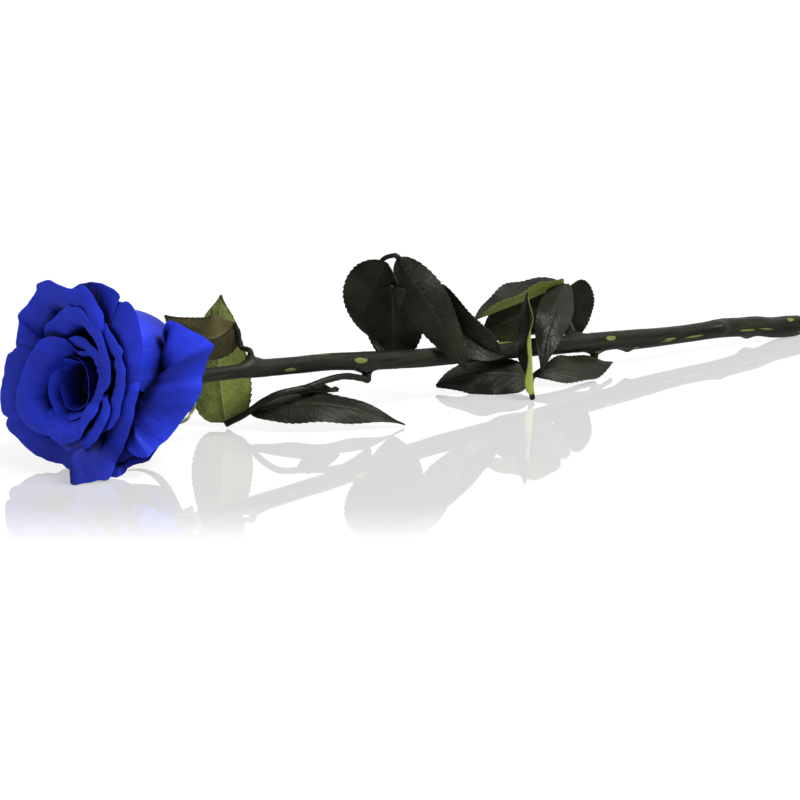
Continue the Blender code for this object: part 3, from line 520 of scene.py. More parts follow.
# Each rim point: clock angle, distance from the middle, height and lean. Then for the whole
# petal the lean at its shoulder, the length beyond it, which curls and then runs straight, the
# share of its radius that the belly takes, the ruffle, and where it differs the spread and folds.
bloomPetals = [
    ([(150, 1.5, 33, 0), (200, 4, 33.5, 0), (257, 6.5, 34, 0), (310, 5, 34, 0), (350, 3, 33.5, 0)], 0, 1.5,
     0.9, 0.1),
    ([(-20, 5.5, 36, 10), (20, 3.2, 36, 10), (90, 2.2, 36, 10), (150, 4.2, 36, 10), (200, 7.5, 36, 10)], 0,
     1.5, 0.9, 0.1),
    ([(-47, 12.9, 40, 15), (-28, 11.1, 40, 20), (-1, 8.8, 40, 30), (32, 5.6, 40, 35), (73, 3.9, 40, 35),
     (137, 5.1, 40, 30), (173, 7.7, 39.5, 20)], 2, 2.5, 0.85, 0.15),
    ([(109, 3.3, 39, 30), (164, 5.5, 39, 30), (197, 8.4, 39, 40), (213, 10.4, 39.5, 40),
     (231, 12.3, 39.5, 35), (252, 12.6, 39.5, 25), (266, 13.3, 39.5, 20), (285, 12.9, 39.5, 20),
     (315, 10.9, 39.5, 20), (333, 8.7, 39, 15)], 2, 3, 0.85, 0.15),
    ([(154, 9.3, 41, 50), (175, 10.6, 41, 75), (201, 12.7, 41.5, 75), (219, 15, 41.5, 60),
     (231, 15.8, 42, 50), (242, 16.3, 42, 45), (256, 16.1, 42.5, 40), (275, 14.5, 43, 35),
     (298, 14.3, 43, 35), (306, 13.5, 43, 35), (321, 11.7, 42, 30), (341, 9.2, 41, 20)], 5, 4.5, 0.85, 0.2),
    ([(311, 18.1, 42, 20), (324, 17.4, 42.5, 30), (332, 17.1, 43, 45), (339, 16.3, 43, 50),
     (349, 13.9, 42.5, 60), (355, 11.8, 41, 70), (382, 13.5, 39, 70)], 5, 3, 0.85, 0.2),
    ([(-42, 16.5, 38, 40), (-21, 16.9, 42, 70), (-11, 17.6, 42.5, 85), (-3, 18, 42.5, 95),
     (7, 18, 42.3, 105), (21, 17, 42, 112), (36, 16.5, 41.5, 118), (42, 16, 41, 118),
     (62, 14.5, 37.5, 118)], 8, 6.5, 0.85, 0.25),
    ([(28, 13, 38, 90), (46, 12.4, 40, 100), (52, 14.3, 40.2, 115), (61, 14.6, 40.2, 122),
     (71, 13.2, 40.2, 124), (90, 11.2, 40, 124), (110, 10.6, 40, 120), (145, 9.9, 39.5, 105),
     (158, 9.5, 37, 60)], 8, 7, 0.85, 0.25),
    ([(108, 12, 39, 90), (123, 12.9, 42, 100), (148, 14, 43, 110), (163, 16.9, 44, 110),
     (183, 18.6, 45.2, 100), (194, 19.8, 46, 90), (211, 20.3, 46, 75), (227, 19.5, 45, 50),
     (240, 17.5, 42, 40)], 12, 9.5, 0.82, 0.35),
    ([(196, 20, 41, 90), (213, 22.3, 45, 100), (227, 25.4, 46.5, 100), (240, 27.6, 47.5, 95),
     (249, 27.6, 48, 90), (260, 25.2, 48.5, 85), (271, 23.1, 48.5, 82), (291, 21.5, 48.3, 80),
     (304, 20.3, 48, 78), (313, 20.2, 48, 75), (319, 20, 47.5, 70), (327, 19.4, 47, 60),
     (334, 19.1, 46.5, 45), (347, 17.8, 43, 40)], 14, 10, 0.8, 0.35),
    ([(84, 13, 36, 100), (97, 14.2, 39, 118), (105, 15.7, 39.4, 124), (112, 16.5, 39.7, 124),
     (127, 17.3, 40.5, 122), (143, 19.1, 41.2, 120), (159, 20.7, 42, 118), (182, 22.2, 42, 112),
     (190, 22.7, 42.2, 108), (196, 22.5, 42.2, 100), (204, 22.9, 42, 90), (216, 22, 39, 80)], 12, 8, 0.82,
     0.3),
    ([(-64, 22.5, 40, 30), (-40, 22.9, 46, 40), (-20, 24.1, 46.5, 60), (-5, 27.6, 46.5, 75),
     (-2, 28.7, 46.8, 78), (0, 28.2, 46.5, 80), (9, 28.5, 45.5, 88), (17, 27, 44.5, 98),
     (26, 24.5, 43, 108), (34, 22.1, 42, 114), (49, 19.3, 41, 120), (60, 17.2, 40, 122),
     (78, 14.6, 39.5, 124), (97, 11.4, 39, 120), (112, 11.3, 36, 100)], 14, 9, 0.82, 0.35),
    ([(2, 25.5, 37, 70), (22, 26.2, 40.5, 95), (28, 27.1, 41, 105), (34, 26.3, 40.7, 112),
     (46, 25.4, 40.3, 116), (53, 25.3, 39.8, 118), (56, 23.2, 39.4, 120), (68, 22.6, 38.6, 124),
     (76, 21.2, 38.3, 125), (94, 19.1, 38.2, 125), (120, 19.5, 38.4, 120), (143, 18.8, 39, 110),
     (158, 19.5, 37, 90)], 14, 8.5, 0.82, 0.35),
    ([(275, 32, 40, 45), (284, 33.5, 44, 56), (294, 31.6, 46.3, 68), (303, 33.6, 46.2, 66),
     (306, 36.3, 46, 66), (319, 35, 46.3, 68), (330, 36.1, 46.5, 72), (331, 37.2, 46.8, 75),
     (340, 37.4, 47, 80), (347, 35.8, 46.8, 82), (356, 34, 46.3, 84), (364, 34.5, 45.8, 86),
     (368, 36.3, 45.4, 90), (373, 35.1, 44.5, 96), (379, 32.7, 43.2, 104), (385, 30.5, 41.8, 110),
     (388, 27.6, 40.5, 112), (394, 24.5, 37, 112)], 20, 12, 0.8, 0.4),
    ([(236, 36, 38, 70), (246, 41.1, 42.5, 86), (249, 43.1, 43.5, 88), (256, 41.2, 44.5, 88),
     (262, 38, 45.5, 85), (270, 35.5, 46.4, 82), (279, 35.1, 46.6, 80), (288, 31.4, 46.6, 76),
     (298, 27, 43, 60)], 24, 12, 0.78, 0.4),
    ([(182, 29, 34, 70), (194, 31.9, 38, 80), (202, 32.4, 37.6, 88), (211, 33.8, 38.6, 90),
     (222, 36.5, 40.2, 90), (233, 39.7, 42, 88), (241, 42.9, 43, 85), (246, 38.7, 44, 80),
     (254, 36, 40, 70)], 22, 13, 0.78, 0.5),
    ([(64, 22.5, 30.5, 110), (79, 24, 33.5, 122), (91, 22.5, 34, 127), (103, 21.4, 34, 127),
     (121, 21.5, 33.7, 124), (140, 23.2, 33, 118), (155, 27.2, 33, 110), (159, 32.2, 35.8, 104),
     (162, 32, 39.5, 100), (165, 32.1, 43, 98), (166, 32.2, 45.6, 95), (169, 32, 47.8, 90),
     (180, 29.1, 43.5, 80), (191, 26.4, 41, 75)], 22, [11, 12.5, 12.5, 13, 13.5, 14, 14.5, 15, 15, 15, 14,
     13, 11, 8], 0.78, 0.3),
    ([(-16, 33, 36, 50), (-4, 35.4, 40, 60), (1, 36.1, 40.5, 68), (7, 37.1, 40.5, 78), (15, 37.6, 40.2, 84),
     (23, 37.7, 39.6, 88), (27, 37.6, 39.2, 90), (26, 35.8, 38.7, 90), (25, 34.8, 38.4, 92),
     (29, 36.2, 38.4, 95), (31, 37.7, 38.2, 98), (34, 37.9, 37.5, 100), (37, 36.7, 36.6, 104),
     (40, 35.1, 35.7, 108), (48, 31.6, 34.8, 114), (56, 28, 34, 118), (68, 24.8, 33.6, 122),
     (80, 22.4, 33.5, 120), (100, 20.5, 31, 115)], 20, [8, 10, 12, 14, 15, 15.5, 16, 16, 16, 16.5, 17, 17,
     17, 16.5, 16, 15, 14, 13, 11], 0.78, 0.3),
    ([(49, 32.8, 25, 80), (41, 33.3, 22, 105), (43, 34.3, 19.5, 122), (51, 35.4, 17, 130),
     (60, 38.8, 15, 134), (64, 40.3, 14, 136), (68, 37, 14, 136), (77, 33.7, 14.5, 136),
     (84, 33.2, 15, 136), (92, 30.9, 16, 136), (106, 28.4, 18, 134), (118, 27.9, 20, 130),
     (128, 28.6, 22.5, 122), (133, 29.7, 25, 112), (136, 31.3, 27, 104), (145, 29.5, 29, 95),
     (149, 29.6, 31, 85)], 30, [7, 8, 10, 17, 21, 22.5, 23, 22.5, 23.5, 23, 22, 20, 18.5, 17, 15, 12, 10],
     0.7, 0.5, 1, 1.2),
    ([(4, 27, 30, 30), (25, 28, 32.5, 25), (40, 27.5, 33.5, 20), (55, 25, 33.7, 16), (70, 22, 33.2, 16),
     (82, 19.5, 31.5, 16), (92, 17, 28.5, 16)], 8, 3, 0.98, 0.3),
    ([(118, 25, 22, 80), (140, 27, 21, 95), (147, 28.9, 22, 98), (156, 28.1, 24.5, 98),
     (160, 28.6, 26.5, 96), (160, 30, 28, 95), (161, 32.3, 31, 94), (164, 32.2, 32, 92), (172, 32, 35, 90),
     (172, 29, 38, 70)], 24, 5, 0.85, 0.4),
    (evenRim(260, 360, 35, 36, 4, 100), 26, 12, 0.7, 1),
    (evenRim(190, 286, 34, 33, 4, 105), 26, 12, 0.7, 1),
    (evenRim(142, 234, 27, 30, 4, 95), 26, 9, 0.75, 0.6),
    (evenRim(224, 320, 38, 20, -2, 138), 34, 16, 0.6, 1),
    (evenRim(300, 376, 24.5, 22, 4, 70), 14, 6, 0.95, 0.6),
]


def rimAt(p, share):
    marks = p["marks"]
    i = 0
    while i < len(marks) - 2 and share > marks[i + 1]:
        i += 1
    return catmull(p["rim"], i + (share - marks[i]) / (marks[i + 1] - marks[i]))


# A petal's section: a body that swells from the root to the shoulder, then the curled rim
def petalSection(p, rim, flare, curl, t, shape):
    lean = p["lean"]
    roll = min(curl, shape["curlPerTurn"] * (flare - lean))
    flat = curl - roll
    bend = roll / (flare - lean)
    beyond = Vector((sin(flare), cos(flare))) * flat
    back = Vector((cos(lean) - cos(flare), sin(flare) - sin(lean))) * bend
    shoulder = rim - beyond - back
    body = shape["bodyArc"] * (shoulder - p["root"]).length
    whole = body + roll + flat
    if t * whole < body:
        rise = Vector((sin(lean), cos(lean)))
        reach = shape["swellReach"] * (shoulder.y - p["root"].y)
        swell = Vector((max(p["root"].x, p["belly"] * shoulder.x), p["root"].y + 0.1 * reach))
        return bezier((p["root"], swell, shoulder - rise * reach, shoulder), t * whole / body)
    if flat < 0.01 or t * whole < body + roll:
        angle = lean + (flare - lean) * (t * whole - body) / roll
        return shoulder + Vector((cos(lean) - cos(angle), sin(angle) - sin(lean))) * bend
    return rim - beyond * ((1.0 - t) * whole / flat)


def wave(values, u, v, seed):
    size, along, up = values
    return size * wobble(u * along, v * up, seed)


# A point of a petal, and how much painted shade its colour takes there
def petalPoint(p, u, t, seed, shape):
    corner = shape["corner"]
    v = t * max(shape["cornerLeast"], 1.0 - abs(u) ** corner) ** (1.0 / corner)
    turn, radius, height, flare, curl = rimAt(p, 0.5 + 0.5 * u)
    size = min(1.0, p["radius"] / shape["fullRadius"])
    out = size * (wave(shape["wander"], u, 0.0, seed + 1) + wave(shape["nicks"], u, 0.0, seed + 2))
    rim = Vector((radius + out * sin(flare), height + out * cos(flare)))
    point = petalSection(p, rim, max(flare, p["lean"] + 0.05), curl, v, shape)
    late = v ** 3
    point.x += p["ruffle"] * late * sin(shape["ruffleWaves"] * u + seed)
    point.x += size * smooth(v * 1.6) * (1.0 - 0.6 * late) * wave(shape["dents"], u, v, seed + 3)
    point.y += p["ruffle"] * late * late * wave(shape["crinkle"], u, v, seed + 4)
    fold = p["folds"] * smooth(v * 1.2 - 0.2)
    point.x += fold * wave(shape["folds"], u * p["length"], v, seed + 6)
    width = shape["rootWidth"] + (1.0 - shape["rootWidth"]) * smooth(v / p["spread"])
    middle = 0.5 * (p["rim"][0][0] + p["rim"][-1][0])
    angle = radians(middle + (turn - middle) * width)
    # painted shade: tissue deep in the heart, and the petals listed as facing away from the light, are
    # darkened in colour
    (topAt, topSpan), (sideAt, sideSpan) = shape["heartTop"], shape["heartSide"]
    heart = smooth((topAt - point.y) / topSpan) * smooth((sideAt - point.x) / sideSpan)
    shade = max(shape["dimPetals"].get(seed, 0.0) * smooth(u + 0.5), heart)
    place = inBloom(point.x * sin(angle), point.x * cos(angle), point.y)
    return lifted(place, shape["overFloor"]), shade


def addPetal(part, p, seed, shape):
    rows, power = shape["rows"], shape["rowPower"]
    cols = max(shape["leastCols"], int(p["length"] * shape["colsPerMm"]))
    made = gridOf(rows, cols, lambda t, u: petalPoint(p, u, t ** power, seed, shape))

    def half(i, j):
        edge = max(0.0, (i - rows + shape["rimRows"]) / shape["rimRows"])
        return 0.5 * (shape["thickness"] + (shape["rimThickness"] - shape["thickness"]) * edge)

    start = len(part["wearAndShade"])
    addSheet(part, [[place for place, _ in line] for line in made], half, lambda i, j: -half(i, j),
             lambda i, j: (j / cols + shape["uvStep"] * seed, (i / rows) ** power), (0, 0))
    # each point's painted shade goes into the per-point value that the petal finish reads
    part["wearAndShade"][start:] = [shade for line in made for _, shade in line] * 2


# The heart is closed off inside by a small cone of wrapped tissue, darkened by painted shade: radii and
# heights
heartShape = dict(profile=[(5.0, 0.4), (11.0, 1.8), (15.0, 5.4), (17.4, 11.0), (17.8, 18.0),
                          (15.4, 22.0), (11.6, 24.6), (6.6, 25.6), (2.4, 26.0), (0.4, 26.1)],
              sides=40, rootShadeAt=0.12)


def addHeart(part, shape):
    rings = [[inBloom(r * sin(a), r * cos(a), h) for a in ringTurns(shape["sides"])]
             for r, h in shape["profile"]]
    for k in range(addTube(part, rings, 0), len(part["uvs"])):
        part["uvs"][k] = (part["uvs"][k][0], shape["rootShadeAt"])
        # the cone sits at the dark root end of the colour ramp and takes full painted shade
        part["wearAndShade"][k] = 1.0


def makeBloom(shape):
    part = newPart()
    for number, values in enumerate(bloomPetals):
        addPetal(part, petal(*values), number, shape)
    addHeart(part, heartShape)
    makePiece("petals", part, [petalFinish(petalLook)], ["bloom"], shape["sharp"])


makeBloom(petalShape)


# Calyx: the hip and five sepals that curl away behind the petals
calyxShape = dict(
    hipLength=9.5, hipRadius=5.4, hipLeast=3.0, hipRows=24, hipSides=40, hipRibs=0.035,
    hipLumps=0.03, gap=0.35,
    lengths=(21.5, 25.0, 19.5, 25.0, 25.0), width=5.5, tipWidth=0.6, firstTurn=-16.0,
    # a sepal's path: distance from the axis by its length, and then height
    path=((0.75, -2.6), (0.98, 4.0), (1.02, 12.0)), foot=(4.0, -1.5),
    lobe=0.35, lobeWaves=22.0, keel=0.5, curl=0.9, thickness=0.5, sepalRows=40, sepalCols=10,
)


def addHip(part, shape):
    rings = []
    for i in range(shape["hipRows"] + 1):
        t = i / shape["hipRows"]
        swell = shape["hipRadius"] * sin(pi * (0.12 + 0.8 * t)) ** 0.6
        height = -shape["hipLength"] + (shape["hipLength"] - shape["gap"]) * t
        ring = []
        for angle in ringTurns(shape["hipSides"]):
            lumps = wobble(3 * cos(angle), 3 * sin(angle) + 4 * t, 5)
            r = max(shape["hipLeast"], swell) * (1.0 + shape["hipRibs"] * cos(5 * angle)
                                                 + shape["hipLumps"] * lumps)
            ring.append(inBloom(r * sin(angle), r * cos(angle), height))
        rings.append(ring)
    addTube(part, rings, 0)


def addSepal(part, number, length, shape):
    rows, cols, half = shape["sepalRows"], shape["sepalCols"], shape["thickness"] / 2
    turn = radians(shape["firstTurn"] + 360.0 * number / len(shape["lengths"]))
    path = [Vector(shape["foot"])] + [Vector((length * out, up)) for out, up in shape["path"]]

    def pointAt(t, u):
        r, z = bezier(path, t)
        # thin side lobes such as a rose sepal bears
        lobe = shape["lobe"] * max(0.0, sin(t * shape["lobeWaves"] + number))
        lobe *= smooth((t - 0.3) * 4.0) * (1.0 - t)
        out = u * 0.5 * (shape["width"] * (1.0 - t) ** 0.7 + shape["tipWidth"])
        out *= 1.0 + lobe * abs(u) ** 3
        curl = shape["curl"] * u * u * (0.4 + t) * sin(5.0 * t + number)
        return inBloom(r * sin(turn) + out * cos(turn), r * cos(turn) - out * sin(turn),
                       z - shape["keel"] * abs(u) + curl * 0.5)

    addSheet(part, gridOf(rows, cols, pointAt), lambda i, j: half, lambda i, j: -half,
             lambda i, j: (j / cols, i / rows), (0, 0))


def makeCalyx(shape):
    part = newPart()
    addHip(part, shape)
    for number, length in enumerate(shape["lengths"]):
        addSepal(part, number, length, shape)
    makePiece("hipAndSepals", part, [calyxFinish(calyxLook)], ["calyx"])


makeCalyx(calyxShape)


# Stem: centre line with radii, leaf knobs, and the scars on its skin
stemShape = dict(
    route=[
        ((-132.65, -4.3, 26.5), 2.7), ((-124.0, -3.6, 26.0), 2.5), ((-113.0, -2.9, 25.6), 2.6),
        ((-103.5, -2.4, 25.2), 3.3), ((-88.0, -1.7, 24.1), 3.2), ((-70.0, -0.8, 22.8), 3.3),
        ((-54.4, -0.5, 20.9), 3.5), ((-25.0, 0.0, 18.0), 3.6), ((12.7, 0.0, 15.8), 3.6),
        ((44.0, 0.0, 13.8), 3.7), ((77.7, 0.0, 11.5), 3.9), ((89.0, 0.0, 10.4), 4.1),
        ((112.4, 0.0, 9.2), 3.8), ((124.3, -0.2, 9.0), 3.8), ((136.4, -0.4, 8.9), 4.1),
        ((148.7, -0.6, 8.0), 4.2), ((158.1, -0.8, 7.2), 4.3), ((168.0, -1.0, 5.4), 4.5),
        ((178.0, -1.2, 4.7), 4.7), ((184.0, -1.3, 4.5), 4.4)],
    knobs=[(-106.5, 78, 2.8), (-54.0, -100, 2.8), (-39.0, 15, 2.4), (53.0, 62, 2.6),
           (62.0, -92, 2.8), (81.0, -75, 2.6), (133.5, 160, 2.8), (153.5, -60, 3.0)],
    ringStep=0.8, sides=60, overFloor=0.02,
    # how far each ring of the bevel is drawn in, the last of them the rim of the cut face
    bevel=(0.0, 0.25, 0.65, 1.2), bevelStep=0.22,
    # a knob's height, length and width by its size, and the raised ring round the stem there
    knobRise=0.62, knobLength=1.25, knobWidth=0.85, ringRise=0.10, ringLength=0.9,
    scarDepth=0.12, scarLip=0.10,
    # the cut face: rings by their share of its radius, and how far its middle is dished
    faceShares=(1.0, 0.82, 0.6, 0.38, 0.2, 0.08), dish=0.35,
    # distance along, angle from the far side up, half length, half width in millimetres
    scars=[(-58.0, 165, 4.3, 1.7), (-91.5, 196, 3.8, 1.1), (-74.5, 98, 6.0, 0.8),
           (13.5, 108, 6.5, 0.9), (68.0, 150, 4.2, 1.5), (84.5, 232, 3.0, 1.4),
           (62.0, 236, 2.6, 1.1), (176.0, 128, 3.2, 1.5), (103.0, 186, 5.0, 0.7),
           (101.0, 198, 4.0, 0.55), (117.0, 190, 9.0, 0.6), (148.0, 190, 8.0, 0.6),
           (160.0, 186, 7.0, 0.55), (181.0, 205, 2.5, 0.8), (-35.0, 320, 4.0, 1.4),
           (22.0, 20, 4.5, 1.5), (110.0, 35, 5.0, 1.4), (146.0, 330, 4.0, 1.2)],
)


def stemAt(shape, x):
    points = [Vector(p) for p, _ in shape["route"]]
    radii = [r for _, r in shape["route"]]
    i = 0
    while i < len(points) - 2 and x > points[i + 1].x:
        i += 1
    t = i + min(1.0, max(0.0, (x - points[i].x) / (points[i + 1].x - points[i].x)))
    return catmull(points, t), catmull(radii, t)


def aroundBy(turn, other, radius):
    return radians(abs((turn - other + 180.0) % 360.0 - 180.0)) * radius


# The skin's distance from the centre line at one place, and how worn it is there
def stemSkin(shape, x, turn, radius):
    rad = radians(turn)
    r = radius * (1.0 + 0.010 * sin(5 * rad + 0.02 * x) + 0.008 * sin(9 * rad - 0.03 * x))
    r += 0.16 * wobble(x * 0.08, turn * 0.016, 2) + 0.06 * wobble(x * 0.35, turn * 0.06, 7)
    for at, knobTurn, size in shape["knobs"]:
        along = (x - at) / (shape["knobLength"] * size)
        away = aroundBy(turn, knobTurn, radius) / (shape["knobWidth"] * size)
        r += shape["knobRise"] * size * exp(-along ** 2 - away ** 2)
        r += shape["ringRise"] * exp(-((x - at) / shape["ringLength"]) ** 2)
    mark = 0.0
    for at, scarTurn, long, wide in shape["scars"]:
        away = aroundBy(turn, scarTurn, radius) / wide
        mark = max(mark, 1.15 - sqrt(((x - at) / long) ** 2 + away ** 2))
    mark = min(1.0, mark)
    r -= shape["scarDepth"] * smooth(mark * 1.6)
    r += shape["scarLip"] * exp(-((mark - 0.25) / 0.12) ** 2)
    return r, mark


# The cut face, slightly dished, with the pith in the middle
def addCutFace(part, rim, outer, shape):
    middle = sum(outer, Vector()) / len(outer)
    starts = []
    for share in shape["faceShares"]:
        sunk = Vector((shape["dish"] * (1.0 - share) ** 2, 0.0, 0.0))
        ring = [middle + (q - middle) * share - sunk for q in outer]
        starts.append(addVerts(part, ring, [(k / len(ring), share) for k in range(len(ring))]))
    faces = joinRings(starts, len(outer))
    faces.append(tuple(range(starts[-1], starts[-1] + len(outer))))
    addFaces(part, faces, 1)
    addFaces(part, joinRings([rim, rim + len(outer)], len(outer)), 0)


def makeStem(shape):
    part = newPart()
    sides = shape["sides"]
    first, last = shape["route"][0][0][0], shape["route"][-1][0][0]
    count = round((last - first) / shape["ringStep"])
    rings, wearAndShade = [], []
    for i in range(count + len(shape["bevel"])):
        x = first + (last - first) * min(1.0, i / count)
        centre, radius = stemAt(shape, x)
        bevel = max(0, i - count)
        centre.x += shape["bevelStep"] * bevel
        radius -= shape["bevel"][bevel]
        ring = []
        for k in range(sides):
            turn = 360.0 * k / sides
            r, mark = stemSkin(shape, x, turn, radius)
            rad = radians(turn)
            q = centre + Vector((0.0, r * cos(rad), r * sin(rad)))
            ring.append(lifted(q, shape["overFloor"]))
            wearAndShade.append(mark)
        rings.append(ring)
    tube, outer = rings[:-1], rings[-1]
    start = addTube(part, tube, 0)
    part["wearAndShade"][start:] = wearAndShade[:len(tube) * sides]
    addCutFace(part, start + (len(tube) - 1) * sides, outer, shape)
    makePiece("woodyStem", part, [barkFinish("stemSkin", barkLook), cutWoodFinish(cutLook)], ["stem"])


makeStem(stemShape)


# Leaves: each leaflet by its base, middle and tip, its width, and the way its upper side faces
def leaflet(base, middle, tip, width, faces, fold=12.0, curl=0.0, twist=0.0, wave=0.6,
            wide=0.0, blunt=0.8, taper=0.0, teeth=20, finish="dark"):
    return dict(base=Vector(base), middle=Vector(middle), tip=Vector(tip), width=width,
                faces=Vector(faces).normalized(), fold=fold, curl=curl, twist=twist, wave=wave,
                wide=wide, blunt=blunt, taper=taper, teeth=teeth, finish=finish)


# Stalks: points, then the radius at the start and at the end. The first begins at a knob.
leafTable = {
    "leaf_1": dict(
        knob=0, stalks=[([(-107.6, 3.4, 32.8), (-108.4, 4.2, 38.0), (-110.0, 4.2, 41.8)], 1.1, 0.9)],
        leaves=[
            leaflet((-109.8, 4.2, 41.8), (-121.1, 7.0, 37.2), (-136.0, 9.0, 47.0), 20.5,
                    (0.5, 0.75, 0.35), fold=8, wave=0.2, wide=-0.05, blunt=0.7, finish="olive")]),
    "leaf_2": dict(
        knob=1, stalks=[([(-57.5, -2.6, 15.0), (-66.3, -4.0, 17.3), (-75.3, -4.6, 17.2),
                          (-85.0, -4.4, 15.6), (-95.0, -2.6, 14.6), (-99.7, 2.0, 11.2),
                          (-102.5, 8.5, 6.0), (-107.2, 15.0, 1.4)], 1.3, 1.2)],
        leaves=[
            leaflet((-107.0, 15.2, 2.0), (-108.1, 17.5, 25.4), (-106.0, 18.5, 49.4), 22.0,
                    (0.55, 0.8, 0.1), fold=6, wide=-0.15, blunt=0.58, taper=0.3, finish="pale"),
            leaflet((-101.6, 7.4, 6.6), (-79.9, -9.0, 9.5), (-54.0, -24.5, 0.8), 15.0, (-0.25, -0.5, 0.8),
                    fold=-6, curl=0.1),
            leaflet((-87.1, -4.2, 15.2), (-78.0, -3.6, 13.2), (-68.9, -3.5, 12.4), 6.5, (0.5, 0.6, 0.6),
                    fold=5, blunt=0.5, teeth=12, finish="deep")]),
    "leaf_3": dict(
        knob=2, stalks=[([(-37.8, 15.5, 25.5), (-36.5, 17.5, 42.0), (-38.2, 11.0, 55.0),
                          (-36.8, 4.5, 58.6), (-34.8, 3.0, 57.2)], 1.1, 0.9),
                        ([(-36.0, 4.0, 58.0), (-25.0, 7.5, 52.0), (-13.8, 6.5, 44.0)], 0.8, 0.8)],
        leaves=[
            leaflet((-38.6, 5.8, 55.5), (-42.0, 12.8, 41.4), (-40.6, 14.2, 25.8), 21.0, (-0.6, -0.7, 0.2),
                    fold=5),
            leaflet((-38.9, 3.0, 47.2), (-34.9, 6.8, 29.9), (-33.7, 10.0, 13.6), 22.0, (-0.6, -0.74, 0.3),
                    fold=-6, curl=0.12, wide=0.2, blunt=0.6),
            leaflet((-35.6, 3.4, 57.6), (-24.8, -5.0, 36.7), (-13.2, -11.0, 13.1), 17.0,
                    (-0.5, -0.7, 0.4), fold=-10, curl=0.15),
            leaflet((-13.9, 6.3, 44.3), (-9.0, -3.0, 27.0), (6.3, -10.0, 16.2), 16.5, (-0.75, -0.3, 0.45),
                    fold=28, wide=0.1, blunt=0.5)]),
    "leaf_4": dict(
        knob=3, stalks=[([(53.3, 7.5, 26.0), (53.5, 9.5, 33.0), (51.5, 8.5, 38.0)], 1.1, 0.9)],
        leaves=[
            leaflet((53.0, 8.2, 36.8), (27.5, 6.5, 32.4), (4.2, 6.0, 28.2), 19.0, (-0.1, 0.1, 1.0),
                    fold=38, wide=0.05, finish="bright"),
            leaflet((51.0, 9.5, 32.0), (33.3, 12.0, 25.4), (15.5, 14.0, 21.6), 20.0, (0.55, 0.75, 0.1),
                    fold=6, blunt=0.35, finish="deep"),
            leaflet((54.0, 7.0, 36.6), (35.6, -5.5, 26.8), (24.2, -12.0, 8.1), 13.5, (-0.5, -0.75, 0.4),
                    fold=-8),
            leaflet((60.2, 12.6, 34.2), (63.3, 12.5, 24.8), (62.3, 14.0, 10.0), 16.5, (-0.5, -0.8, 0.2),
                    fold=-5, wide=-0.1, blunt=0.5)]),
    "leaf_5": dict(
        knob=4, stalks=[([(56.0, -0.2, 5.2), (48.0, 0.0, 6.0), (38.0, -1.0, 6.0),
                          (23.5, -7.0, 4.2), (10.3, -22.5, 1.3)], 1.1, 1.1)],
        leaves=[
            leaflet((22.5, -7.8, 4.4), (6.1, 2.0, 6.9), (-9.3, 13.0, 2.2), 20.5, (-0.3, -0.5, 0.8),
                    fold=-8, blunt=0.65),
            leaflet((26.0, -5.8, 4.9), (44.5, -10.0, 7.2), (70.7, -3.0, 3.4), 15.0, (-0.2, -0.5, 0.8),
                    fold=-10, wide=0.25),
            leaflet((10.9, -21.8, 1.8), (14.6, -16.0, 20.7), (20.8, -6.5, 39.0), 13.0, (-0.75, 0.6, 0.25),
                    fold=25, twist=60, finish="bright")]),
}

leafShape = dict(
    rowsPerTooth=4, cols=28, colPower=0.85, thickness=0.34, overFloor=0.25, leastHalf=0.4,
    ribHeight=0.55, ribSharpness=18.0, grooveDepth=0.22, grooveSharpness=16.0,
    # teeth by their share of the half width, then the blade's waves, puffs and bends
    toothSize=0.055, toothLean=0.35, toothPower=7, waves=2.5, puff=0.10, bends=0.5,
    stalkSides=14, stalkSteps=14, stalkLumps=0.10, claspRise=0.9, claspRings=5.0,
    seatRise=0.4, seatLength=2.6,
)


def midrib(leaf, t):
    control = leaf["middle"] * 2.0 - (leaf["base"] + leaf["tip"]) * 0.5
    s = 1.0 - t
    return leaf["base"] * s * s + control * 2 * s * t + leaf["tip"] * t * t


def bladeWidth(leaf, t):
    share = max(0.0, sin(pi * min(1.0, t) ** (0.74 + leaf["wide"]))) ** leaf["blunt"]
    if leaf["taper"]:
        share = min(share, max(0.0, 1.0 - t) / leaf["taper"])
    return share * sqrt(max(0.0, 1.0 - t ** 8))


def leafletPoint(leaf, u, t, tooth, seed, shape):
    centre = midrib(leaf, t)
    along = (midrib(leaf, min(1.0, t + 0.01)) - midrib(leaf, max(0.0, t - 0.01))).normalized()
    faces = leaf["faces"]
    normal = (faces - along * faces.dot(along)).normalized()
    side = along.cross(normal)
    turn = radians(leaf["twist"]) * (t - 0.3)
    normal, side = (normal * cos(turn) + side * sin(turn), side * cos(turn) - normal * sin(turn))
    half = leaf["width"] / 2 * bladeWidth(leaf, t) + shape["leastHalf"]
    fold = radians(leaf["fold"])
    out = abs(u) * half * (1.0 + tooth * abs(u) ** shape["toothPower"])
    rise = out * sin(fold) - leaf["curl"] * u * u * half
    rise += leaf["wave"] * u * u * sin(tau * shape["waves"] * t + (0.0 if u > 0 else 1.6))
    # the blade puffs up between its side veins
    phase = (t - leafLook["veinLean"] * abs(u) ** leafLook["veinBend"]) * leafLook["sideVeins"]
    between = sin(pi * min(1.0, abs(u) * 1.02)) ** 0.5
    rise += shape["puff"] * abs(sin(pi * phase)) * between
    rise += shape["bends"] * wobble(t * 4.0, u * 1.3, seed)
    return centre + side * copysign(out * cos(fold), u) + normal * rise


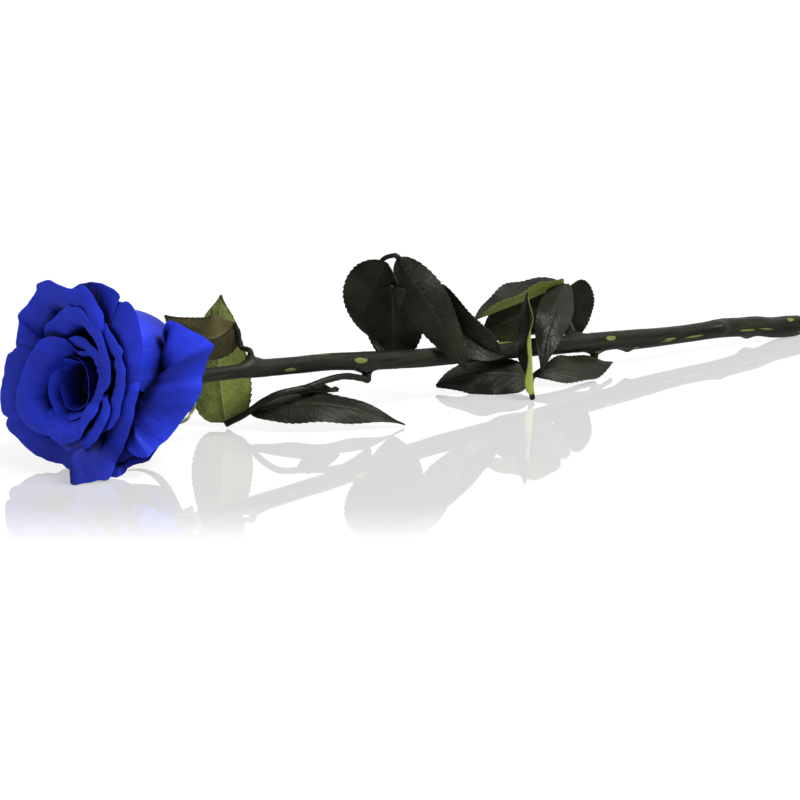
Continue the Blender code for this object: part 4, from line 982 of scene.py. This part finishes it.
def addLeaflet(part, leaf, seed, shape, slots):
    perTooth, cols = shape["rowsPerTooth"], shape["cols"]
    rows = leaf["teeth"] * perTooth

    def pointAt(t, u):
        i = round(t * rows)
        saw = (i % perTooth) / (perTooth - 1.0)
        u = copysign(abs(u) ** shape["colPower"], u)
        # each tooth leans towards the tip
        lean = shape["toothLean"] / leaf["teeth"] * saw * abs(u) ** shape["toothPower"]
        tooth = shape["toothSize"] * (saw - 0.5) * (1.0 + 0.6 * wobble(i * 0.3, u, seed + 2))
        q = leafletPoint(leaf, u, min(1.0, t + lean), tooth, seed, shape)
        return lifted(q, shape["overFloor"]), (0.5 + 0.5 * u, t)

    made = gridOf(rows, cols, pointAt)
    uvs = [[uv for _, uv in line] for line in made]

    # a ridge along the midrib
    def ridge(i, j, height, sharpness):
        return height * exp(-(abs(uvs[i][j][0] * 2.0 - 1.0) * sharpness) ** 2)

    def upper(i, j):
        return shape["thickness"] / 2 - ridge(i, j, shape["grooveDepth"], shape["grooveSharpness"])

    def under(i, j):
        rib = ridge(i, j, shape["ribHeight"], shape["ribSharpness"]) * (1.0 - 0.8 * uvs[i][j][1])
        return -shape["thickness"] / 2 - rib

    addSheet(part, [[q for q, _ in line] for line in made], upper, under, lambda i, j: uvs[i][j], slots)


leafMats = {name: leafUpper(name, leafLook, *tones) for name, tones in leafLook["upperTones"].items()}
for tone, colours in leafLook["underTones"].items():
    leafMats[tone] = leafUnder("leafUnder" + tone.capitalize(), leafLook, *colours)
stalkLook = {**barkLook, "skin": (0.004, 0.0045, 0.003), "skinPale": (0.013, 0.014, 0.009)}
stalkMat = barkFinish("stalkSkin", stalkLook)


def leafSeat(knob, shape):
    x, turn, size = stemShape["knobs"][knob]
    centre, radius = stemAt(stemShape, x)
    out = Vector((0.0, cos(radians(turn)), sin(radians(turn))))
    seat = centre + out * (radius + shape["seatRise"] * size)
    return [seat, seat + out * shape["seatLength"]]


def addStalk(part, points, wide, thin, number, shape):
    count = shape["stalkSteps"] * (len(points) - 1)
    line = [catmull(points, (len(points) - 1) * i / count) for i in range(count + 1)]
    radii = []
    for i in range(count + 1):
        lumps = 1.0 + shape["stalkLumps"] * wobble(i * 0.3, 0.0, number + 11)
        # the first stalk widens where it clasps the stem
        clasp = shape["claspRise"] * exp(-(i / shape["claspRings"]) ** 2) if number == 0 else 0.0
        radii.append((wide + (thin - wide) * i / count) * lumps + clasp)
    line = [lifted(p, r * 0.9) for p, r in zip(line, radii)]
    addTube(part, ringsAlong(line, radii, shape["stalkSides"]), 0)


def makeLeaf(name, entry, shape):
    part = newPart()
    tones = []
    for leaf in entry["leaves"]:
        if leaf["finish"] not in tones:
            tones.append(leaf["finish"])
    upperMat = leafMats["leafTopOlive" if "olive" in tones else "leafTop"]
    for number, (route, wide, thin) in enumerate(entry["stalks"]):
        points = [Vector(p) for p in route]
        if number == 0:
            points = leafSeat(entry["knob"], shape) + points
        addStalk(part, points, wide, thin, number, shape)
    for number, leaf in enumerate(entry["leaves"]):
        addLeaflet(part, leaf, number + 5 * len(name), shape, (1, 2 + tones.index(leaf["finish"])))
    makePiece("fine" + name.replace("_", "").capitalize(), part,
              [stalkMat, upperMat] + [leafMats[tone] for tone in tones], [name])


for leafName, leafEntry in leafTable.items():
    makeLeaf(leafName, leafEntry, leafShape)


# Floor, light and camera
setting = dict(
    floorSize=9.0, floorColour=(0.12, 0.12, 0.12, 1.0), floorRoughness=0.03, floorIor=2.2,
    floorGlow=0.50, plainGlow=0.42, polish=0.5, polishLimits=(-0.215, -0.14),
    # the way from the camera to the far side of the studio
    away=(0.6115, 0.7912, 0.0),
    skyLimits=(-0.4, 0.6), skyPower=(0.19, 1.15),
    # place, target, size and power
    lamps=dict(softboxRight=((0.12, -0.62, 0.98), (-0.04, 0.0, 0.03), (0.55, 0.4), 29.0),
               softboxLeft=((-0.95, -0.25, 0.45), (-0.10, 0.0, 0.03), (0.5, 0.5), 1.5)),
)
white = (1.0, 1.0, 1.0, 1.0)


def makeFloor():
    half = setting["floorSize"] / 2
    mesh = bpy.data.meshes.new("floor")
    mesh.from_pydata([(-half, -half, 0.0), (half, -half, 0.0), (half, half, 0.0), (-half, half, 0.0)],
                     [], [(0, 1, 2, 3)])
    n = Nodes("paleFloor")
    # the polish fades out in front of the rose
    polish = n.away(n.coords(), setting["polishLimits"])
    glow = n.maths("MULTIPLY_ADD", n.maths("SUBTRACT", 1.0, polish), setting["plainGlow"],
                   setting["floorGlow"])
    mesh.materials.append(n.finish(Base_Color=setting["floorColour"], IOR=setting["floorIor"],
                                   Roughness=setting["floorRoughness"],
                                   Specular_IOR_Level=n.maths("MULTIPLY", polish, setting["polish"]),
                                   Emission_Color=white, Emission_Strength=glow))
    floor = addObject("floor", mesh)


def makeLight(name, place, target, size, power):
    lamp = bpy.data.lights.new(name, "AREA")
    lamp.shape = "RECTANGLE"
    lamp.size, lamp.size_y = size
    lamp.energy = power
    thing = addObject(name, lamp)
    thing.location = place
    thing.rotation_mode = "QUATERNION"
    thing.rotation_quaternion = (Vector(target) - Vector(place)).to_track_quat("-Z", "Y")


# The studio is brightest beyond the rose and dimmer behind the camera
def makeSky():
    n = Nodes("studio", "worlds", "Background")
    power = n.away(n.coords("Generated"), setting["skyLimits"], setting["skyPower"])
    studio.world = n.finish(Color=white, Strength=power)
    studio.view_settings.view_transform = "Standard"
    studio.view_settings.look = "None"


view = dict(place=(-0.53905, -0.64828, 0.205), heading=52.3, down=13.7, lens=100.0, sensor=36.0,
            nearest=0.01)


def makeCamera():
    heading, down = radians(view["heading"]), radians(view["down"])
    ahead = Vector((cos(heading) * cos(down), sin(heading) * cos(down), -sin(down)))
    rightHand = Vector((sin(heading), -cos(heading), 0.0))
    turned = Matrix((rightHand, rightHand.cross(ahead), -ahead)).transposed().to_4x4()
    turned.translation = Vector(view["place"])
    lens = bpy.data.cameras.new("photoView")
    lens.lens = view["lens"]
    lens.sensor_width = view["sensor"]
    lens.clip_start = view["nearest"]
    camera = addObject("photoView", lens)
    camera.matrix_world = turned
    studio.camera = camera


makeFloor()
for lampName, lampValues in setting["lamps"].items():
    makeLight(lampName, *lampValues)
makeSky()
makeCamera()
print("floor, lights and camera placed")
